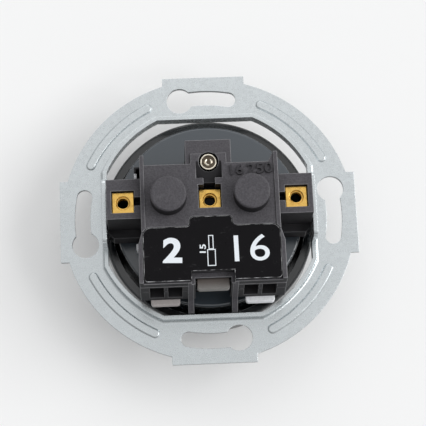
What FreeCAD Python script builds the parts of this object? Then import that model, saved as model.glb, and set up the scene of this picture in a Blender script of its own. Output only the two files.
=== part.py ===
import FreeCAD, Part

import math
import os
import re

import Sketcher

# Flush socket insert seen from its wiring side. Millimetres, +Z up towards the wiring side,
# +Y towards the earth pin. The origin is the middle of the front face, on which it lies.

V = FreeCAD.Vector

SIZES = {
    # front cover: a moulded cap with the plug well in its middle
    "cover_rim_height": 9.8,
    "cover_rim_wall": 2.2,
    "cover_groove": 1.0,
    "cover_face_wall": 2.2,
    "cover_front_round": 2.0,
    "well_wall": 2.5,
    "cup_gap": 1.8,
    "well_depth": 13.0,
    "well_floor": 2.0,
    "well_edge_round": 0.6,
    "pin_spacing": 19.0,
    "pin_entry_radius": 2.75,
    "earth_offset": 10.0,
    # support ring: one pressed sheet with four tabs, a collar and two ears
    "sheet": 1.0,
    "ring_level": 13.0,
    "rim_width": 8.3,
    "tab_rise": 0.5,
    "flat_depth": 2.6,
    "tab_half_width": 10.0,
    "collar_height": 2.0,
    "collar_bend": 0.7,
    "slot_inset": 3.45,
    "slot_half_width": 1.85,
    "slot_half_angle": 11.3,
    "screw_pass_radius": 3.15,
    "bead_inset": 4.4,
    "bead_half_width": 1.0,
    "bead_height": 0.45,
    "bead_sweep": 40.0,
    "ear_half_width": 7.8,
    "ear_height": 9.0,
    "ear_corner": 1.2,
    # socket base: the moulded housing that carries contacts, nuts and springs
    "base_height": 16.4,
    "side_wall": 1.1,
    "base_top_edge": 8.0,
    "base_low_edge": 19.8,
    "fascia_start": 8.0,
    "fascia_step": 1.0,
    "fascia_shoulder": 2.7,
    "fascia_lean": 1.35,
    "fascia_drop": 11.9,
    "seam_height": 0.3,
    "seam_depth": 0.45,
    "high_seam_drop": 3.0,
    "low_seam_drop": 6.2,
    "toe_set_back": 1.8,
    "tower_half_width": 5.3,
    "tower_reach": 13.8,
    "tower_drop": 0.5,
    "tower_pad_wall": 1.2,
    "tower_pad_reach": 10.4,
    "cheek_overlap": 0.8,
    "cheek_thickness": 1.0,
    "cheek_reach": 10.3,
    "cheek_rise": 0.3,
    "gusset_foot": 1.2,
    "hook_reach": 1.5,
    "hook_length": 1.2,
    "hook_thickness": 0.5,
    "hook_height": 8.0,
    "wing_neck": 1.6,
    "wing_wall": 1.3,
    "wing_high_edge": 5.4,
    "wing_low_edge": 4.1,
    "wing_drop": 1.9,
    "wing_foot_edge": 6.1,
    "wing_foot_height": 4.8,
    "wing_foot_chamfer": 1.2,
    "boss_height": 3.8,
    "boss_radius": 4.15,
    "boss_round": 0.5,
    "leg_middle": 5.1,
    "leg_width": 1.4,
    "leg_toe_height": 1.0,
    "leg_toe_width": 1.0,
    "leg_hook_depth": 1.5,
    "tower_bore_radius": 2.25,
    "channel_half_width": 2.95,
    "channel_low_edge": 4.5,
    "channel_depth": 1.7,
    "neck_half_width": 1.3,
    "neck_length": 1.6,
    "neck_floor": 0.8,
    "chamber_near_side": 3.5,
    "chamber_far_side": 5.1,
    "chamber_top_edge": 4.0,
    "chamber_end_wall": 2.6,
    "chamber_guide": 1.8,
    "chamber_roof": 1.8,
    "boss_bore_radius": 3.1,
    "bay_half_width": 4.1,
    "bay_back_edge": 8.4,
    "bay_floor": 2.2,
    "bay_roof": 2.9,
    "rail_width": 0.7,
    "rail_thickness": 0.8,
    "lip_half_width": 4.85,
    "lip_set_back": 1.2,
    "lip_drop": 2.0,
    # white carrier plate behind the cover
    "plate_thickness": 1.2,
    "plate_top_edge": 6.8,
    "plate_end_gap": 3.2,
    "plate_tab_thickness": 0.65,
    "plate_tab_width": 1.3,
    "plate_arm_overlap": 2.0,
    "upper_tab_height": 7.0,
    "lower_tab_edge": 7.3,
    "lower_tab_height": 4.0,
    # glossy cover over the wire terminals
    "lid_side_gap": 0.1,
    "lid_end_gap": 0.2,
    "lid_notch_depth": 2.2,
    "lid_top_edge": 7.0,
    "lid_step_half_width": 4.8,
    "lid_step_edge": 4.7,
    "lid_thickness": 1.2,
    "lid_proud": 0.2,
    "lid_corner": 1.9,
    "lid_step_round": 0.9,
    # square brass nuts
    "nut_side": 5.0,
    "nut_thickness": 2.4,
    "nut_hole_radius": 1.25,
    "nut_chamfer": 0.45,
    "nut_drop": 1.05,
    # contacts and clamps
    "sleeve_radius": 2.35,
    "sleeve_wall": 0.5,
    "sleeve_slit": 0.8,
    "sleeve_length": 14.2,
    "sleeve_end_gap": 0.4,
    "bar_thickness": 0.8,
    "bar_half_width": 3.3,
    "bar_drop": 5.8,
    "clip_wall": 0.45,
    "clip_height": 3.6,
    "spring_leaf": 0.4,
    "spring_width": 3.2,
    "wire_offset": 1.3,
    "wire_spacing": 4.2,
    "wire_hole_width": 3.2,
    "wire_hole_height": 4.4,
    "wire_hole_over": 1.3,
    "tongue_set_back": 0.2,
    "strap_half_width": 3.0,
    "strap_thickness": 0.8,
    # release buttons
    "button_half_width": 3.4,
    "button_offset": 1.5,
    "button_length": 8.0,
    "button_proud": 2.5,
    "button_height": 2.3,
    "button_low": 2.0,
    "button_corner": 0.7,
    "earth_button_half_width": 3.7,
    "earth_button_proud": 1.3,
    "earth_button_height": 2.0,
    "button_travel": 1.5,
    # screws and earth pin
    "cover_screw_radius": 1.5,
    "cover_screw_core": 1.22,
    "cover_screw_head": 2.8,
    "cover_screw_head_height": 1.5,
    "driver_slot": 0.8,
    "earth_pin_radius": 2.4,
    "earth_pin_tip": 1.5,
    "earth_root_radius": 2.6,
    "earth_collar_radius": 3.0,
    "earth_tail_radius": 1.9,
    "earth_tail_inset": 1.5,
    "earth_tail_drop": 0.7,
    "earth_dish_radius": 1.3,
    "earth_dish_depth": 0.5,
    # clearances
    "ear_gap": 0.3,
    "slide_gap": 0.2,
    "snug_gap": 0.1,
    "hole_gap": 0.05,
}

# Levels, reaches and edges that several pieces share, each written in the sizes above. Widths run
# outwards from the pins: chamber, block, cheek, nut, wing, then the ring's opening and its rim.
SHARED = {
    "seat": "well_depth + well_floor",
    "ring_back": "ring_level + sheet",
    "roof": "seat + base_height",
    "nut_top": "roof - wing_drop - nut_drop",
    "nut_low": "nut_top - nut_thickness",
    "strap_low": "seat + plate_thickness + hole_gap",
    "bar_low": "roof - bar_drop",
    "wire_low": "bar_low - slide_gap - wire_hole_height",
    "sleeve_top": "roof + boss_height - boss_round - 2 * sleeve_end_gap",
    "pin_x": "pin_spacing / 2",
    "chamber_inner": "pin_x - chamber_near_side",
    "chamber_outer": "pin_x + chamber_far_side",
    "base_half_width": "chamber_outer + side_wall",
    "cheek_inner": "base_half_width - cheek_overlap",
    "cheek_outer": "cheek_inner + cheek_thickness",
    "fascia_half_width": "base_half_width + fascia_step",
    "nut_x": "cheek_outer + wing_neck + nut_side / 2",
    "reach": "nut_x + nut_side / 2 + wing_wall",
    "opening_flat": "reach + ear_gap",
    "opening_radius": "opening_flat + flat_depth",
    "ring_radius": "opening_radius + rim_width",
    "tab_reach": "ring_radius + tab_rise",
    "slot_circle": "opening_radius + slot_inset",
    "bead_circle": "opening_radius + bead_inset",
    "cup_radius": "opening_flat - cup_gap",
    "well_radius": "cup_radius - well_wall",
    "rim_inner": "cup_radius + cover_groove",
    "cover_radius": "rim_inner + cover_rim_wall",
    "chamber_low_edge": "base_low_edge - chamber_end_wall",
    "chamber_foot_edge": "chamber_low_edge - chamber_guide",
    "lip_edge": "base_low_edge - lip_set_back",
    "tail_middle": "earth_offset - earth_tail_inset",
    "tail_top": "roof - earth_tail_drop",
    "nut_pocket_edge": "channel_low_edge - neck_length",
    "wire_top": "bar_low + bar_thickness + wire_hole_over",
    "arm_start": "plate_half_width - plate_arm_overlap",
    "upper_tab_edge": "cheek_reach - hook_length - snug_gap",
    "plate_half_width": "chamber_outer - ear_gap",
    "plate_low_edge": "base_low_edge - plate_end_gap",
    "plate_tab_reach": "fascia_half_width + hole_gap + plate_tab_thickness",
    "lid_half_width": "base_half_width - lid_side_gap",
    "lid_low_edge": "base_low_edge - lid_end_gap",
    "lid_notch_edge": "lid_low_edge - lid_notch_depth",
    "wire_middle": "pin_x + wire_offset",
    "button_middle": "pin_x + button_offset",
    "button_face": "base_low_edge + button_proud",
    "button_tail": "button_face - button_length",
    "earth_button_face": "base_low_edge + earth_button_proud",
    "earth_button_low": "roof - bay_roof - slide_gap - earth_button_height",
}

doc = FreeCAD.newDocument("SocketInsert")
sheet = doc.addObject("Spreadsheet::Sheet", "Sizes")
for row, (alias, value) in enumerate(SIZES.items(), start=1):
    sheet.set(f"A{row}", alias.replace("_", " "))
    sheet.set(f"B{row}", str(value))
    sheet.setAlias(f"B{row}", alias)
doc.recompute()


def bound(text):
    """Turn an expression in size names into one that points at the sheet's cells."""
    def spelled_out(match):
        word = match.group()
        if word in SHARED:
            return f"({bound(SHARED[word])})"
        return f"Sizes.{word}" if word in SIZES else word
    return re.sub(r"[a-z][a-z_]*", spelled_out, text)


def value(text):
    """Work out an expression in size names from the sheet's numbers."""
    return float(sheet.evalExpression(bound(text)))


def place(obj, x="0", y="0", z="0"):
    """Bind an object's position to the sheet."""
    for axis, text in zip("xyz", (x, y, z)):
        obj.setExpression(f".Placement.Base.{axis}", bound(text))
    return obj


def box(name, x, y, z):
    """A box between pairs of limits, each an expression in the size names."""
    solid = doc.addObject("Part::Box", name)
    for prop, (low, high) in zip(("Length", "Width", "Height"), (x, y, z)):
        solid.setExpression(prop, bound(f"({high}) - ({low})"))
    return place(solid, x[0], y[0], z[0])


def cylinder(name, radius, x, y, z):
    """An upright cylinder between two levels."""
    solid = doc.addObject("Part::Cylinder", name)
    solid.setExpression("Radius", bound(radius))
    solid.setExpression("Height", bound(f"({z[1]}) - ({z[0]})"))
    return place(solid, x, y, z[0])


def cone(name, low_radius, high_radius, x, y, z):
    """An upright cone between two levels."""
    solid = doc.addObject("Part::Cone", name)
    solid.setExpression("Radius1", bound(low_radius))
    solid.setExpression("Radius2", bound(high_radius))
    solid.setExpression("Height", bound(f"({z[1]}) - ({z[0]})"))
    return place(solid, x, y, z[0])


def fuse(name, *solids):
    """Join solids that are moulded or bent as one piece."""
    joined = doc.addObject("Part::MultiFuse", name)
    joined.Shapes = list(solids)
    return joined


def cut(name, solid, *tools):
    """Take the tools away from a solid."""
    result = doc.addObject("Part::Cut", name)
    result.Base = solid
    result.Tool = tools[0] if len(tools) == 1 else fuse(f"{name}_tools", *tools)
    return result


def outline(sketch, points):
    """Draw a closed outline whose corners are bound to the sheet."""
    corners = [V(value(a), value(b), 0) for a, b in points]
    count = len(corners)
    first = sketch.GeometryCount
    for i, corner in enumerate(corners):
        sketch.addGeometry(Part.LineSegment(corner, corners[(i + 1) % count]))
    for i in range(count):
        sketch.addConstraint(Sketcher.Constraint("Coincident", first + i, 2, first + (i + 1) % count, 1))
    for i, point in enumerate(points):
        for kind, text, seed in zip(("DistanceX", "DistanceY"), point, corners[i]):
            index = sketch.addConstraint(Sketcher.Constraint(kind, first + i, 1, seed))
            sketch.setExpression(f"Constraints[{index}]", bound(text))


def circle(sketch, radius, x="0", y="0"):
    """Draw a circle bound to the sheet."""
    centre = V(value(x), value(y), 0)
    item = sketch.addGeometry(Part.Circle(centre, V(0, 0, 1), value(radius)))
    for kind, text, seed in (("DistanceX", x, centre.x), ("DistanceY", y, centre.y)):
        index = sketch.addConstraint(Sketcher.Constraint(kind, item, 3, seed))
        sketch.setExpression(f"Constraints[{index}]", bound(text))
    index = sketch.addConstraint(Sketcher.Constraint("Radius", item, value(radius)))
    sketch.setExpression(f"Constraints[{index}]", bound(radius))


def flatted_circle(sketch, radius, flat):
    """Draw a circle with four flats: four straight sides joined by arcs about the origin."""
    r, f = value(radius), value(flat)
    half = math.sqrt(r * r - f * f)
    lean = math.degrees(math.atan2(half, f))
    first = sketch.GeometryCount
    for quarter in range(4):
        turn = FreeCAD.Rotation(V(0, 0, 1), 90 * quarter)
        sketch.addGeometry(Part.LineSegment(turn.multVec(V(f, -half, 0)), turn.multVec(V(f, half, 0))))
        start, end = (math.radians(90 * quarter + a) for a in (lean, 90 - lean))
        sketch.addGeometry(Part.ArcOfCircle(Part.Circle(V(0, 0, 0), V(0, 0, 1), r), start, end))
    for quarter in range(4):
        side, arc = first + 2 * quarter, first + 2 * quarter + 1
        sketch.addConstraint(Sketcher.Constraint("Coincident", side, 2, arc, 1))
        sketch.addConstraint(Sketcher.Constraint("Coincident", arc, 2, first + (2 * quarter + 2) % 8, 1))
        sketch.addConstraint(Sketcher.Constraint("Coincident", arc, 3, -1, 1))
        sketch.addConstraint(Sketcher.Constraint("Vertical" if quarter % 2 == 0 else "Horizontal", side))
        kind = "DistanceX" if quarter % 2 == 0 else "DistanceY"
        sign = "" if quarter < 2 else "-"
        index = sketch.addConstraint(Sketcher.Constraint(kind, side, 1, f if quarter < 2 else -f))
        sketch.setExpression(f"Constraints[{index}]", bound(f"{sign}({flat})"))
        if quarter == 0:
            index = sketch.addConstraint(Sketcher.Constraint("Radius", arc, r))
            sketch.setExpression(f"Constraints[{index}]", bound(radius))
        else:
            sketch.addConstraint(Sketcher.Constraint("Equal", first + 1, arc))


def prism(name, plane, points, low, high):
    """Extrude an outline drawn in the XY, XZ or YZ plane between two distances from it."""
    sketch = doc.addObject("Sketcher::SketchObject", f"{name}_outline")
    turns = {"XY": (0, 0, 0, 1), "XZ": (0.7071067811865476, 0, 0, 0.7071067811865476), "YZ": (0.5, 0.5, 0.5, 0.5)}
    normals = {"XY": V(0, 0, 1), "XZ": V(0, -1, 0), "YZ": V(1, 0, 0)}
    sketch.Placement = FreeCAD.Placement(V(0, 0, 0), FreeCAD.Rotation(*turns[plane]))
    outline(sketch, points)
    for axis, share in zip("xyz", normals[plane]):
        if share:
            sketch.setExpression(f".Placement.Base.{axis}", bound(f"{share} * ({low})"))
    solid = doc.addObject("Part::Extrusion", name)
    solid.Base = sketch
    solid.DirMode = "Normal"
    solid.Solid = True
    solid.setExpression("LengthFwd", bound(f"({high}) - ({low})"))
    return solid


def new_body(name):
    """A body for a piece that is built feature by feature."""
    return doc.addObject("PartDesign::Body", name)


def body_sketch(body, name, plane, level="0", turn=0.0):
    """A sketch on one of the body's own origin planes, raised to a level and turned about local Y."""
    sketch = body.newObject("Sketcher::SketchObject", name)
    role = {"XY": "XY_Plane", "XZ": "XZ_Plane", "YZ": "YZ_Plane"}[plane]
    datum = next(item for item in body.Origin.OriginFeatures if item.Role == role)
    sketch.AttachmentSupport = [(datum, "")]
    sketch.MapMode = "FlatFace"
    sketch.AttachmentOffset = FreeCAD.Placement(V(0, 0, 0), FreeCAD.Rotation(V(0, 1, 0), turn))
    sketch.setExpression(".AttachmentOffset.Base.z", bound(level))
    return sketch


def pad(body, name, sketch, length):
    """Add material above a sketch."""
    feature = body.newObject("PartDesign::Pad", name)
    feature.Profile = sketch
    feature.setExpression("Length", bound(length))
    sketch.Visibility = False
    return feature


def pocket(body, name, sketch):
    """Cut through everything along a sketch's normal, both ways."""
    feature = body.newObject("PartDesign::Pocket", name)
    feature.Profile = sketch
    feature.Type = "ThroughAll"
    feature.Midplane = True
    sketch.Visibility = False
    return feature


def quarters(body, name, features):
    """Repeat features at four quarter turns about the origin's Z axis."""
    pattern = body.newObject("PartDesign::PolarPattern", name)
    pattern.Originals = features
    pattern.Axis = (next(i for i in body.Origin.OriginFeatures if i.Role == "Z_Axis"), [""])
    pattern.Angle = 360
    pattern.Occurrences = 4
    body.Tip = pattern
    return pattern


def edge_names(shape, test):
    """Names of the edges whose points all pass a test."""
    names = []
    for number, edge in enumerate(shape.Edges, start=1):
        steps = [edge.valueAt(edge.FirstParameter + share * (edge.LastParameter - edge.FirstParameter))
                 for share in (0.0, 0.25, 0.5, 0.75, 1.0)]
        if all(test(point) for point in steps):
            names.append(f"Edge{number}")
    return names


def round_edges(body, name, test, radius):
    """Round a body's edges that pass a test."""
    doc.recompute()
    base = body.Tip
    feature = body.newObject("PartDesign::Fillet", name)
    feature.Base = (base, edge_names(base.Shape, test))
    feature.setExpression("Radius", bound(radius))
    doc.recompute()
    return feature


def rounded(name, solid, test, radius):
    """Round a primitive's or boolean's edges that pass a test."""
    doc.recompute()
    feature = doc.addObject("Part::Fillet", name)
    feature.Base = solid
    size = value(radius)
    feature.Edges = [(int(edge[4:]), size, size) for edge in edge_names(solid.Shape, test)]
    return feature


def near(a, b):
    """True when two lengths agree."""
    return abs(a - b) < 1e-4


# Each finished piece, by the name of its node.
PIECES = {}


def finish(node, obj):
    """Record a finished piece under its node name."""
    obj.Label = node
    PIECES[node] = obj
    return obj


def make_support_ring():
    """Pressed steel ring: flat rim with four tabs, keyhole slots, beads, a collar and two ears."""
    body = new_body("RingBody")
    disc = body_sketch(body, "RimOutline", "XY", "ring_level")
    circle(disc, "ring_radius")
    pad(body, "Rim", disc, "sheet")
    tab = body_sketch(body, "TabOutline", "XY", "ring_level")
    outline(tab, [("0", "-tab_half_width"), ("tab_reach", "-tab_half_width"),
                  ("tab_reach", "tab_half_width"), ("0", "tab_half_width")])
    quarters(body, "Tabs", [pad(body, "Tab", tab, "sheet")])
    collar = body_sketch(body, "CollarOutline", "XY", "ring_level")
    flatted_circle(collar, "opening_radius + sheet", "opening_flat + sheet")
    pad(body, "Collar", collar, "sheet + collar_height")
    for side, sign in (("Left", "-"), ("Right", "")):
        ear = body_sketch(body, f"{side}EarOutline", "YZ", f"{sign}(opening_flat + sheet / 2) - sheet / 2")
        outline(ear, [("-ear_half_width", "ring_level"), ("ear_half_width", "ring_level"),
                      ("ear_half_width", "ring_back + ear_height"),
                      ("-ear_half_width", "ring_back + ear_height")])
        pad(body, f"{side}Ear", ear, "sheet")
    opening = body_sketch(body, "OpeningOutline", "XY", "ring_level")
    flatted_circle(opening, "opening_radius", "opening_flat")
    pocket(body, "Opening", opening)

    slot = body_sketch(body, "SlotOutline", "XY", "ring_level")
    draw_arc_slot(slot)
    slot_cut = pocket(body, "Slot", slot)
    entry = body_sketch(body, "ScrewPassOutline", "XY", "ring_level")
    circle(entry, "screw_pass_radius", "slot_circle * cos(slot_half_angle)",
           "slot_circle * sin(slot_half_angle)")
    entry_cut = pocket(body, "ScrewPass", entry)
    quarters(body, "Keyholes", [slot_cut, entry_cut])

    bead = body_sketch(body, "BeadOutline", "XZ", "0", 45.0)
    draw_bead(bead)
    ridge = body.newObject("PartDesign::Revolution", "Bead")
    ridge.Profile = bead
    ridge.ReferenceAxis = (bead, ["V_Axis"])
    ridge.setExpression("Angle", bound("bead_sweep"))
    ridge.Midplane = True
    bead.Visibility = False
    quarters(body, "Beads", [ridge])

    back, reach = value("ring_back"), value("opening_flat + sheet")
    foot = value("opening_radius + sheet")
    round_edges(body, "CollarBend", lambda p: near(p.z, back) and on_outline(p, foot, reach), "collar_bend")
    top, side = value("ring_back + ear_height"), value("ear_half_width")
    round_edges(body, "EarCorners", lambda p: near(p.z, top) and near(abs(p.y), side), "ear_corner")
    return finish("support_ring", body)


def on_outline(point, radius, flat):
    """True for a point on a circle of the given radius with four flats."""
    away = max(abs(point.x), abs(point.y))
    return near(away, flat) or (near(math.hypot(point.x, point.y), radius) and away < flat + 1e-3)


def draw_arc_slot(sketch):
    """Slot along an arc about the origin, with round ends, one of them inside the screw's round hole."""
    middle, half, lean = value("slot_circle"), value("slot_half_width"), math.radians(value("slot_half_angle"))
    origin, up = V(0, 0, 0), V(0, 0, 1)
    ends = [V(middle * math.cos(a), middle * math.sin(a), 0) for a in (-lean, lean)]
    outer = sketch.addGeometry(Part.ArcOfCircle(Part.Circle(origin, up, middle + half), -lean, lean))
    inner = sketch.addGeometry(Part.ArcOfCircle(Part.Circle(origin, up, middle - half), -lean, lean))
    high = sketch.addGeometry(Part.ArcOfCircle(Part.Circle(ends[1], up, half), lean, lean + math.pi))
    low = sketch.addGeometry(Part.ArcOfCircle(Part.Circle(ends[0], up, half), math.pi - lean, 2 * math.pi - lean))
    for arc in (outer, inner):
        sketch.addConstraint(Sketcher.Constraint("Coincident", arc, 3, -1, 1))
    for a, a_end, b, b_end in ((outer, 2, high, 1), (high, 2, inner, 2), (inner, 1, low, 1), (low, 2, outer, 1)):
        sketch.addConstraint(Sketcher.Constraint("Tangent", a, a_end, b, b_end))
    for kind, text, seed in (("Radius", "slot_circle + slot_half_width", middle + half),
                             ("Radius", "slot_circle - slot_half_width", middle - half)):
        arc = outer if "+" in text else inner
        index = sketch.addConstraint(Sketcher.Constraint(kind, arc, seed))
        sketch.setExpression(f"Constraints[{index}]", bound(text))
    for arc, sign, end in ((high, "", ends[1]), (low, "-", ends[0])):
        index = sketch.addConstraint(Sketcher.Constraint("DistanceY", arc, 3, end.y))
        sketch.setExpression(f"Constraints[{index}]", bound(f"{sign}(slot_circle * sin(slot_half_angle))"))


def draw_bead(sketch):
    """Section of a pressed bead: a low arc that stands on the rim's back face."""
    left, right = "bead_circle - bead_half_width", "bead_circle + bead_half_width"
    level = "ring_back"
    low, high, back, rise = value(left), value(right), value(level), value("bead_height")
    base = sketch.addGeometry(Part.LineSegment(V(low, back, 0), V(high, back, 0)))
    arc = sketch.addGeometry(Part.Arc(V(high, back, 0), V((low + high) / 2, back + rise, 0), V(low, back, 0)))
    sketch.addConstraint(Sketcher.Constraint("Coincident", base, 2, arc, 1))
    sketch.addConstraint(Sketcher.Constraint("Coincident", base, 1, arc, 2))
    radius = "(bead_half_width * bead_half_width + bead_height * bead_height) / (2 * bead_height)"
    for kind, item, end, text, seed in (("DistanceX", base, 1, left, low), ("DistanceX", base, 2, right, high),
                                        ("DistanceY", base, 1, level, back), ("DistanceY", base, 2, level, back)):
        index = sketch.addConstraint(Sketcher.Constraint(kind, item, end, seed))
        sketch.setExpression(f"Constraints[{index}]", bound(text))
    index = sketch.addConstraint(Sketcher.Constraint("Radius", arc, value(radius)))
    sketch.setExpression(f"Constraints[{index}]", bound(radius))


def make_front_cover():
    """Moulded cap: outer rim, face, and the plug well, whose floor has the pin holes."""
    body = new_body("CoverBody")
    section = body_sketch(body, "CoverSection", "XZ")
    outline(section, [("well_radius", "0"), ("cover_radius", "0"), ("cover_radius", "cover_rim_height"),
                      ("rim_inner", "cover_rim_height"), ("rim_inner", "cover_face_wall"),
                      ("cup_radius", "cover_face_wall"), ("cup_radius", "seat"), ("0", "seat"),
                      ("0", "well_depth"), ("well_radius", "well_depth")])
    cap = body.newObject("PartDesign::Revolution", "Cap")
    cap.Profile = section
    cap.ReferenceAxis = (section, ["V_Axis"])
    cap.Angle = 360
    section.Visibility = False
    holes = body_sketch(body, "FloorHoles", "XY")
    for sign in ("-", ""):
        circle(holes, "pin_entry_radius", f"{sign}pin_x")
    circle(holes, "earth_root_radius + hole_gap", "0", "earth_offset")
    circle(holes, "cover_screw_radius + snug_gap")
    pocket(body, "Holes", holes)
    outer, well, rim = value("cover_radius"), value("well_radius"), value("cover_rim_height")
    cup_radius, seat = value("cup_radius"), value("seat")
    round_edges(body, "FrontEdge", lambda p: near(p.z, 0) and near(math.hypot(p.x, p.y), outer),
                "cover_front_round")
    round_edges(body, "SoftEdges", lambda p: (near(p.z, 0) and near(math.hypot(p.x, p.y), well))
                or (near(p.z, seat) and near(math.hypot(p.x, p.y), cup_radius))
                or (near(p.z, rim) and near(math.hypot(p.x, p.y), outer)), "well_edge_round")
    doc.recompute()
    sink = cone("ScrewSink", "cover_screw_head + snug_gap", "cover_screw_radius + snug_gap", "0", "0",
                ("well_depth", "well_depth + cover_screw_head_height"))
    return finish("front_cover", cut("Cover", body, sink))


def make_socket_base():
    """Moulded housing: block, tower, cheeks, wings, bosses and legs, less its chambers and pockets."""
    sides = (("Left", "-"), ("Right", ""))
    solids = [
        box("Block", ("-base_half_width", "base_half_width"), ("-base_low_edge", "base_top_edge"),
            ("seat", "roof")),
        box("Tower", ("-tower_half_width", "tower_half_width"), ("0", "tower_reach"),
            ("seat", "roof - tower_drop")),
        box("TowerPad", ("-(channel_half_width + tower_pad_wall)", "channel_half_width + tower_pad_wall"),
            ("0", "tower_pad_reach"), ("seat", "roof")),
        prism("Gusset", "XY", [("cheek_inner + hole_gap", "base_top_edge - 1"),
                               ("cheek_inner - gusset_foot", "base_top_edge - 1"),
                               ("cheek_inner - gusset_foot", "base_top_edge"),
                               ("cheek_inner + hole_gap", "cheek_reach")], "seat", "roof"),
        prism("Fascia", "YZ", fascia_outline(), "-fascia_half_width", "fascia_half_width"),
    ]
    for side, sign in sides:
        solids += wing(side, sign)
        solids.append(box(f"{side}Cheek", span(sign, "cheek_inner", "cheek_outer"),
                          ("-fascia_start", "cheek_reach"), ("seat", "roof + cheek_rise")))
        post = cylinder(f"{side}Post", "boss_radius", f"{sign}pin_x", "0", ("roof", "roof + boss_height"))
        crown = value("roof + boss_height")
        solids.append(rounded(f"{side}Boss", post, lambda p: near(p.z, crown), "boss_round"))
        solids.append(prism(f"{side}Leg", "YZ", leg_outline(), *span(sign, "leg_middle - leg_width / 2",
                                                                   "leg_middle + leg_width / 2")))
    solids += hook()
    shell = fuse("Shell", *solids)

    tools = []
    for side, sign in sides:
        tools += chamber_tools(side, sign) + wing_tools(side, sign) + fascia_tools(side, sign)
    tools += middle_tools() + [lid_recess()]
    return finish("socket_base", cut("Housing", shell, *tools))


def span(sign, low, high):
    """A pair of limits on one side of the middle plane."""
    return (low, high) if sign == "" else (f"-({high})", f"-({low})")


def fascia_outline():
    """Section of the wire entry face: it leans outwards from the roof and steps back above the seat."""
    edge = "(roof - fascia_drop)"
    return [("-fascia_start", "seat"), ("-fascia_start", "roof"), ("-base_low_edge", "roof"),
            ("-(base_low_edge + fascia_lean)", edge), ("-(base_low_edge - toe_set_back)", edge),
            ("-(base_low_edge - toe_set_back)", "seat")]


def fascia_tools(side, sign):
    """Slanted shoulder where the fascia grows wider than the cheek, and two thin seams across its face."""
    flank = [("cheek_outer", "1 - fascia_start"), ("fascia_half_width + 1", "1 - fascia_start"),
             ("fascia_half_width + 1", "-(fascia_start + fascia_shoulder)"),
             ("fascia_half_width", "-(fascia_start + fascia_shoulder)"), ("cheek_outer", "-fascia_start")]
    if sign:
        flank = [(f"-({x})", y) for x, y in reversed(flank)]
    tools = [prism(f"{side}Shoulder", "XY", flank, "seat", "roof + 1")]
    for word, drop in (("High", "high_seam_drop"), ("Low", "low_seam_drop")):
        face = f"(base_low_edge + fascia_lean * {drop} / fascia_drop)"
        tools.append(box(f"{side}{word}Seam", span(sign, "leg_middle + leg_width / 2", "fascia_half_width + 1"),
                         ("-(reach + 1)", f"-({face} - seam_depth)"),
                         (f"roof - {drop} - seam_height / 2", f"roof - {drop} + seam_height / 2")))
    return tools


def hook():
    """Small hook outside the left cheek, which holds the carrier plate's upper tab."""
    far = "-(cheek_outer + hook_reach)"
    level = ("seat", "seat + hook_height")
    return [
        box("HookBar", (far, "-cheek_inner"), ("cheek_reach - hook_thickness", "cheek_reach"), level),
        box("HookEnd", (far, f"{far} + hook_thickness"), ("cheek_reach - hook_length", "cheek_reach"), level),
    ]


def leg_outline():
    """Section of a leg: it runs down the fascia and ends in a toe inside the ring's collar."""
    step = "(seat + leg_toe_height)"
    return [("-bay_back_edge", "seat"), ("-bay_back_edge", "roof"), ("-base_low_edge", "roof"),
            ("-(base_low_edge + fascia_lean + 0.3)", f"{step} + 3.0"), ("-reach", step),
            ("-reach", "ring_back - leg_hook_depth + sheet"),
            ("-(reach - leg_toe_width)", "ring_back - leg_hook_depth + sheet"),
            ("-(reach - leg_toe_width)", "seat")]


def wing(side, sign):
    """Block beside the housing that holds a square nut, on a deeper foot with one corner cut off."""
    foot = [("cheek_inner", "wing_high_edge"), ("cheek_inner", "-wing_foot_edge"),
            ("reach - wing_foot_chamfer", "-wing_foot_edge"), ("reach", "-(wing_foot_edge - wing_foot_chamfer)"),
            ("reach", "wing_high_edge")]
    if sign:
        foot = [(f"-({x})", y) for x, y in reversed(foot)]
    return [
        prism(f"{side}WingFoot", "XY", foot, "seat", "seat + wing_foot_height"),
        box(f"{side}Wing", span(sign, "cheek_inner", "reach"), ("-wing_low_edge", "wing_high_edge"),
            ("seat", "roof - wing_drop")),
    ]


def wing_tools(side, sign):
    """Nut pocket of a wing, its notch towards the housing, and the hollow under it."""
    middle = f"{sign}(nut_x)"
    half = "(nut_side / 2 + snug_gap)"
    floor = "nut_low"
    above = "roof + 1"
    return [
        box(f"{side}NutPocket", (f"{middle} - {half}", f"{middle} + {half}"), (f"-{half}", half), (floor, above)),
        box(f"{side}Notch", span(sign, "cheek_outer", "nut_x"), ("-nut_side / 5", "nut_side / 5"),
            (floor, above)),
        cylinder(f"{side}NutWay", "nut_hole_radius + slide_gap", middle, "0", ("seat", above)),
        box(f"{side}WingHollow", (f"{middle} - {half}", f"{middle} + {half}"), (f"-{half}", half),
            ("seat", f"{floor} - well_floor")),
    ]


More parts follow.
